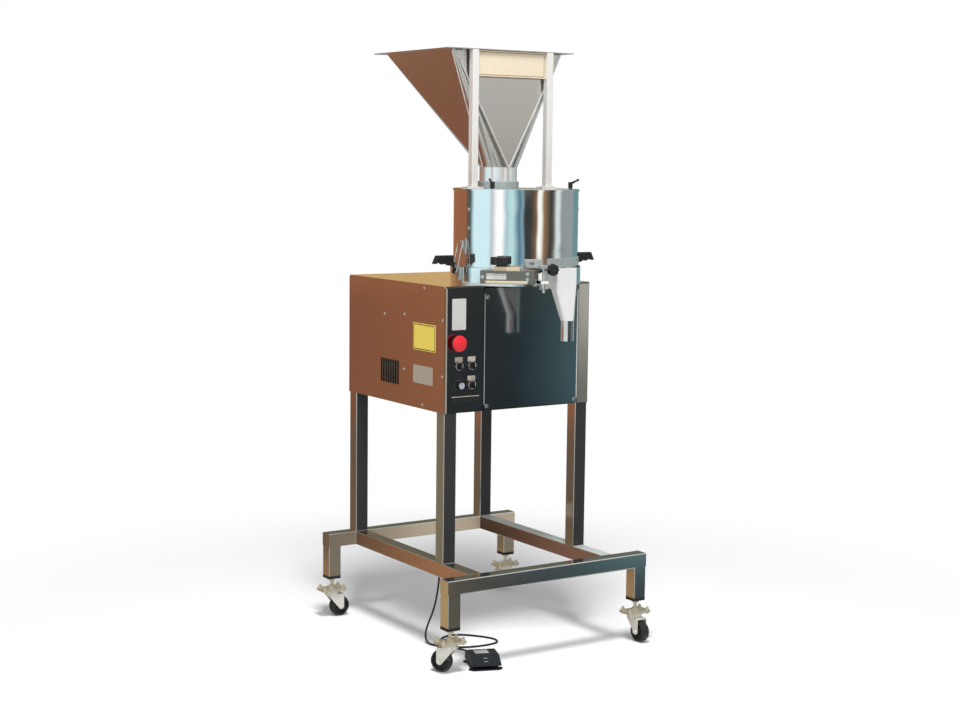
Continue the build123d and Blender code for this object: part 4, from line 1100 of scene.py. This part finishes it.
@dataclass
class FootSwitch(Group):
    """Foot switch on the floor and the cord that joins it to the cabinet, with its route in millimetres."""

    axes: Axes = Axes(-0.253, -0.408, -21.0)
    slope_top: Pair = (-0.026, 0.045)
    slope: Pair = (0.040, 0.023)
    crown: Triple = (-0.004, 0.014, 0.0448)
    inlet: tuple[Triple, ...] = ((-0.014, 0.113, 0.013), (-0.014, 0.087, 0.013))
    cord_radius: float = 0.0035
    route: tuple[Triple, ...] = (
        (-241, -106, 823), (-241, -106, 726), (-240, -103, 628), (-239, -104, 528), (-240, -108, 428),
        (-240, -109, 332), (-240, -104, 246), (-243, -93, 172), (-250, -80, 113), (-262, -66, 68),
        (-272, -64, 38), (-278, -75, 14), (-279, -98, 4.4), (-272, -124, 3.6), (-257, -148, 3.6),
        (-235, -173, 3.6), (-204, -197, 3.6), (-165, -211, 3.6), (-122, -217, 3.6), (-84, -216, 3.6),
        (-58, -205, 3.6), (-46, -182, 3.6), (-48, -156, 3.6), (-61, -128, 3.6), (-82, -98, 3.6),
        (-107, -69, 3.6), (-137, -48, 3.6), (-170, -45, 3.6), (-201, -61, 3.6), (-224, -88, 5.0),
        (-236, -116, 9.0), (-243, -144, 12.2), (-247, -177, 12.2), (-245, -210, 11.8), (-238, -236, 12.2),
        (-231, -262, 13.0))
    finishes = {FOOT_PAINT: "foot_base foot_pedal", BLACK_PLASTIC: "cord_glands"}

    def build(self, nodes: Nodes) -> None:
        """Add the pedal's two rib plates, its pale plate that paints a highlight on the crown, and the cord.
        """
        axes, across = self.axes, self.axes.way(1, 0)
        run, fall = self.slope
        rib, bare = Plate(0.015, 0.0045, 0.0012), Plate(0.048, 0.040, 0.0010, 0.003)
        for row, along in (("upper", 0.35), ("lower", 0.68)):
            middle = axes.spot(0, self.slope_top[0] - run * along, self.slope_top[1] - fall * along - 0.0002)
            rib.add("pedal_rib_" + row, FITTING_STEEL, middle, across, axes.way(0, run, fall), Body.PEDAL)
        # A pale plate on the crown paints the highlight of the pedal's top.
        bare.add("pedal_plate_bare", WHITE_PLATE, axes.spot(*self.crown), across, axes.way(0, 1), Body.PEDAL)
        self._cord(nodes)

    def _cord(self, nodes: Nodes) -> None:
        """Lay the cord on its route as one smooth round curve."""
        points = [(x / 1000, y / 1000, z / 1000) for x, y, z in self.route]
        points += [self.axes.spot(*place) for place in self.inlet]
        cord = tube("foot_cord_line", [points], self.cord_radius, "NURBS", 4)
        line = cord.data.splines[0]
        line.order_u = 3
        line.use_endpoint_u = True
        line.resolution_u = 6
        cord.data.materials.append(CORD_JACKET.material())
        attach(cord, Body.STAND.value)
        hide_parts("foot_cord")
        LOG.info("foot cord of %d route points", len(points))


class Tone(Enum):
    """Tones of the walls, cards and floor that the metal mirrors."""

    RUST = rgb(142, 92, 69)
    RUST_LIT = rgb(166, 109, 77)
    TAN = rgb(172, 133, 97)
    STRAW = rgb(220, 200, 144)
    SAND = rgb(214, 178, 120)
    BRONZE = rgb(149, 121, 89)
    DRAB = rgb(124, 102, 84)
    UMBER = rgb(114, 92, 76)
    OLIVE = rgb(103, 103, 91)
    SLATE = rgb(62, 65, 66)
    CHARCOAL = rgb(47, 51, 54)
    NIGHT = rgb(24, 32, 44)
    TEAL_DARK = rgb(78, 104, 110)
    TEAL = rgb(118, 156, 162)
    DENIM = rgb(84, 128, 158)
    SEA = rgb(186, 222, 228)
    HAZE = rgb(146, 182, 196)
    GREY = rgb(160, 171, 175)
    PALE = rgb(202, 204, 202)
    MIST = rgb(226, 234, 236)
    CREAM = rgb(249, 234, 216)
    WHITE = rgb(250, 250, 252)
    AQUA = rgb(208, 250, 252)
    SKY = (0.83, 1.12, 1.21)
    LILAC = (0.66, 0.68, 0.74)
    CARD = (1.32, 1.32, 1.36)
    GLARE = (1.25, 1.26, 1.18)
    ICE = (0.88, 0.97, 0.98)


@dataclass(frozen=True)
class Ring:
    """A ring of the room round the machine.

    It takes over from the ring below between two heights. Its tones are written as bearings with names.
    """

    low: float
    high: float
    bands: str

    def stops(self) -> list[tuple[float, Triple]]:
        """Return the tones as stops of a ramp over the whole turn."""
        pairs = (band.split() for band in self.bands.split(","))
        return [((float(bearing) + 180) / 360, Tone[name].value) for bearing, name in pairs]


BACK_LEFT = "-180 GREY, -138 PALE, "
BACK_RIGHT = ", 130 GREY, 180 GREY"
DRAB_SIDE = "-128 DRAB, -114 DRAB, -108.6 UMBER, -70 DRAB, -45 PALE, 5 PALE, 24 CHARCOAL, "


@dataclass
class Studio:
    """Floor, surroundings, lamps and camera."""

    eye: Triple = (-3.359, -5.132, 1.701)
    heading: float = -33.107
    tilt: float = -6.639
    roll: float = 0.659
    focal: float = 1714.0
    frame_width: float = 960.0
    sensor: float = 36.0
    rings: tuple[Ring, ...] = (
        Ring(-2.0, -1.5, BACK_LEFT + "-128 RUST, -90 RUST, -60 PALE, 110 PALE, 180 GREY"),
        Ring(-0.305, -0.285, BACK_LEFT + (
            "-128 TAN, -116 TAN, -113.5 STRAW, -108 TAN, -70 TAN, -45 PALE, 5 PALE, 24 SLATE, 58 BRONZE, "
            "61.5 BRONZE, 63.5 DRAB, 65.2 OLIVE, 67 SLATE, 68.5 CHARCOAL, 70.2 TEAL_DARK, 71 SLATE, "
            "78 SLATE, 100 SLATE") + BACK_RIGHT),
        Ring(-0.233, -0.228, BACK_LEFT + DRAB_SIDE + (
            "58 BRONZE, 61.8 BRONZE, 63 DRAB, 65 OLIVE, 66.3 SLATE, 66.8 GREY, 67.5 GREY, 68.2 CHARCOAL, "
            "69.8 CHARCOAL, 70.6 TEAL, 73 TEAL, 76 SLATE, 100 SLATE") + BACK_RIGHT),
        Ring(-0.204, -0.196, BACK_LEFT + DRAB_SIDE + (
            "61.5 SLATE, 66 SLATE, 69 CHARCOAL, 100 SLATE") + BACK_RIGHT),
        Ring(-0.158, -0.146, BACK_LEFT + (
            "-128 RUST, -119 RUST, -114 RUST_LIT, -70 RUST_LIT, -45 MIST, 5 MIST, 24 CHARCOAL, 63 SLATE, "
            "66.4 SLATE, 67.3 NIGHT, 68.4 NIGHT, 69.6 TEAL, 78 TEAL, 90 SLATE") + BACK_RIGHT),
        Ring(-0.0785, -0.0724, (
            "-180 RUST_LIT, -106 RUST_LIT, -100 UMBER, -92 TEAL_DARK, -83 SKY, -52 SKY, -46 LILAC, -36 CARD, "
            "-27 CARD, -19 SEA, -11 AQUA, -6 AQUA, 1 HAZE, 6 DENIM, 11.5 HAZE, 16 SLATE, 26 SLATE, 33 UMBER, "
            "37 BRONZE, 40 GLARE, 45.5 GLARE, 51.5 TAN, 59 DRAB, 66 SLATE, 72 OLIVE, 79 ICE, 85 ICE, "
            "92 GREY, 126 GREY, 136 TEAL, 180 TEAL")),
        Ring(0.0, 0.05, (
            "-180 SAND, -112 RUST_LIT, -86 MIST, -20 WHITE, 40 CREAM, 62 MIST, 67 PALE, 73 CREAM, 110 MIST, "
            "180 SAND")),
        Ring(0.12, 0.2, "-180 OLIVE, -110 BRONZE, -60 PALE, 60 PALE, 120 GREY, 180 OLIVE"),
        Ring(0.4, 0.7, "-180 MIST, 180 MIST"))
    backdrop: Triple = (1.0, 1.0, 1.0)
    ambient: Triple = (0.39, 0.39, 0.40)
    paper: Triple = (0.93, 0.93, 0.93)
    paper_fades: Pair = (0.7, 2.4)
    floor_radius: float = 14.0
    lamp_aim: Triple = (0.0, 0.0, 1.0)

    def build(self) -> None:
        """Set up everything around the machine."""
        bpy.context.scene.view_settings.view_transform = "Standard"
        self._surroundings()
        self._floor()
        self._lamp("key_softbox", (-0.97, -1.55, 5.0), size=1.2, power=215)
        self._lamp("front_softbox", (-1.2, -4.4, 2.6), size=2.4, power=75)
        self._camera()

    def _surroundings(self) -> None:
        """A pale room whose walls have the warm and cool bands that polished steel picks up."""
        world = bpy.data.worlds.new("pale room")
        world.use_nodes = True
        bpy.context.scene.world = world
        shade = Shade(world.node_tree, "Generated")
        x, y, z = (shade.node("ShaderNodeSeparateXYZ", {0: shade.where}, axis) for axis in range(3))
        turn = math.radians(self.heading)
        ahead = x * math.sin(turn) - y * math.cos(turn)
        bearing = (x * math.cos(turn) + y * math.sin(turn)).bearing(ahead)
        share = bearing / (2 * math.pi) + 0.5
        wall: Feed = (0.0, 0.0, 0.0)
        for ring in self.rings:
            row = shade.node("ShaderNodeValToRGB", {"Fac": share}, stops=ring.stops())
            wall = shade.blend(shade.step(z, ring.low, ring.high), wall, row)
        glossy = shade.node("ShaderNodeLightPath", out="Is Glossy Ray")
        seen = shade.node("ShaderNodeLightPath", out="Is Camera Ray")
        soft = shade.blend(seen, self.ambient, self.backdrop)
        light = shade.node("ShaderNodeBackground", {"Color": shade.blend(glossy, soft, wall)})
        shade.node("ShaderNodeOutputWorld", {"Surface": light})

    def _floor(self) -> None:
        """A wide pale floor that fades into the backdrop and keeps the shadow."""
        form = bmesh.new()
        bmesh.ops.create_circle(form, cap_ends=True, segments=96, radius=self.floor_radius)
        floor = put("studio_floor", as_mesh("studio_floor", form))
        floor.visible_glossy = False
        material = bpy.data.materials.new("studio floor")
        material.use_nodes = True
        shade = Shade(material.node_tree, "Object")
        spread = shade.node("ShaderNodeVectorMath", {0: shade.where}, "Value", operation="LENGTH")
        paper = shade.node("ShaderNodeBsdfDiffuse", {"Color": (*self.paper, 1)})
        glow = shade.node("ShaderNodeEmission", {"Color": (*self.backdrop, 1)})
        far = shade.step(spread, *self.paper_fades) * shade.node("ShaderNodeLightPath", out="Is Camera Ray")
        mixed = shade.node("ShaderNodeMixShader", {0: far, 1: paper, 2: glow})
        shade.node("ShaderNodeOutputMaterial", {"Surface": mixed})
        floor.data.materials.append(material)

    def _lamp(self, name: str, place: Triple, size: float, power: float) -> None:
        """Add a soft lamp aimed at the machine.

        Args:
            name: Name of the lamp.
            place: Where it hangs.
            size: Edge length.
            power: Power in watts.
        """
        light = bpy.data.lights.new(name, "AREA")
        light.size = size
        light.energy = power
        lamp = put(name, light)
        lamp.location = place
        lamp.rotation_euler = (Vector(self.lamp_aim) - Vector(place)).to_track_quat("-Z", "Y").to_euler()
        lamp.visible_glossy = False

    def _camera(self) -> None:
        """Stand the camera where the photograph was taken from."""
        data = bpy.data.cameras.new("camera")
        data.sensor_width = self.sensor
        data.lens = self.sensor * self.focal / self.frame_width
        data.clip_end = 100
        turn, tilt, roll = (math.radians(value) for value in (self.heading, self.tilt, self.roll))
        ahead = Vector((-math.sin(turn) * math.cos(tilt), math.cos(turn) * math.cos(tilt), math.sin(tilt)))
        right = Vector((math.cos(turn), math.sin(turn), 0))
        tipped = math.cos(roll) * right + math.sin(roll) * right.cross(ahead)
        axes = Matrix((tipped, tipped.cross(ahead), -ahead)).transposed().to_4x4()
        camera = put("camera", data)
        camera.matrix_world = Matrix.Translation(self.eye) @ axes
        bpy.context.scene.camera = camera


def main() -> None:
    """Load the solids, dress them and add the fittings."""
    logging.basicConfig(level=logging.INFO, format="%(name)s: %(message)s")
    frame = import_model()
    nodes = frame["nodes"]
    Studio().build()
    for part in (Stand(), Cabinet(), Controls(), Drum(), Hopper()):
        part.dress(nodes)
        part.build()
        LOG.info("%s done", type(part).__name__)
    foot = FootSwitch()
    foot.dress(nodes)
    foot.build(nodes)


if __name__ == "__main__":
    main()
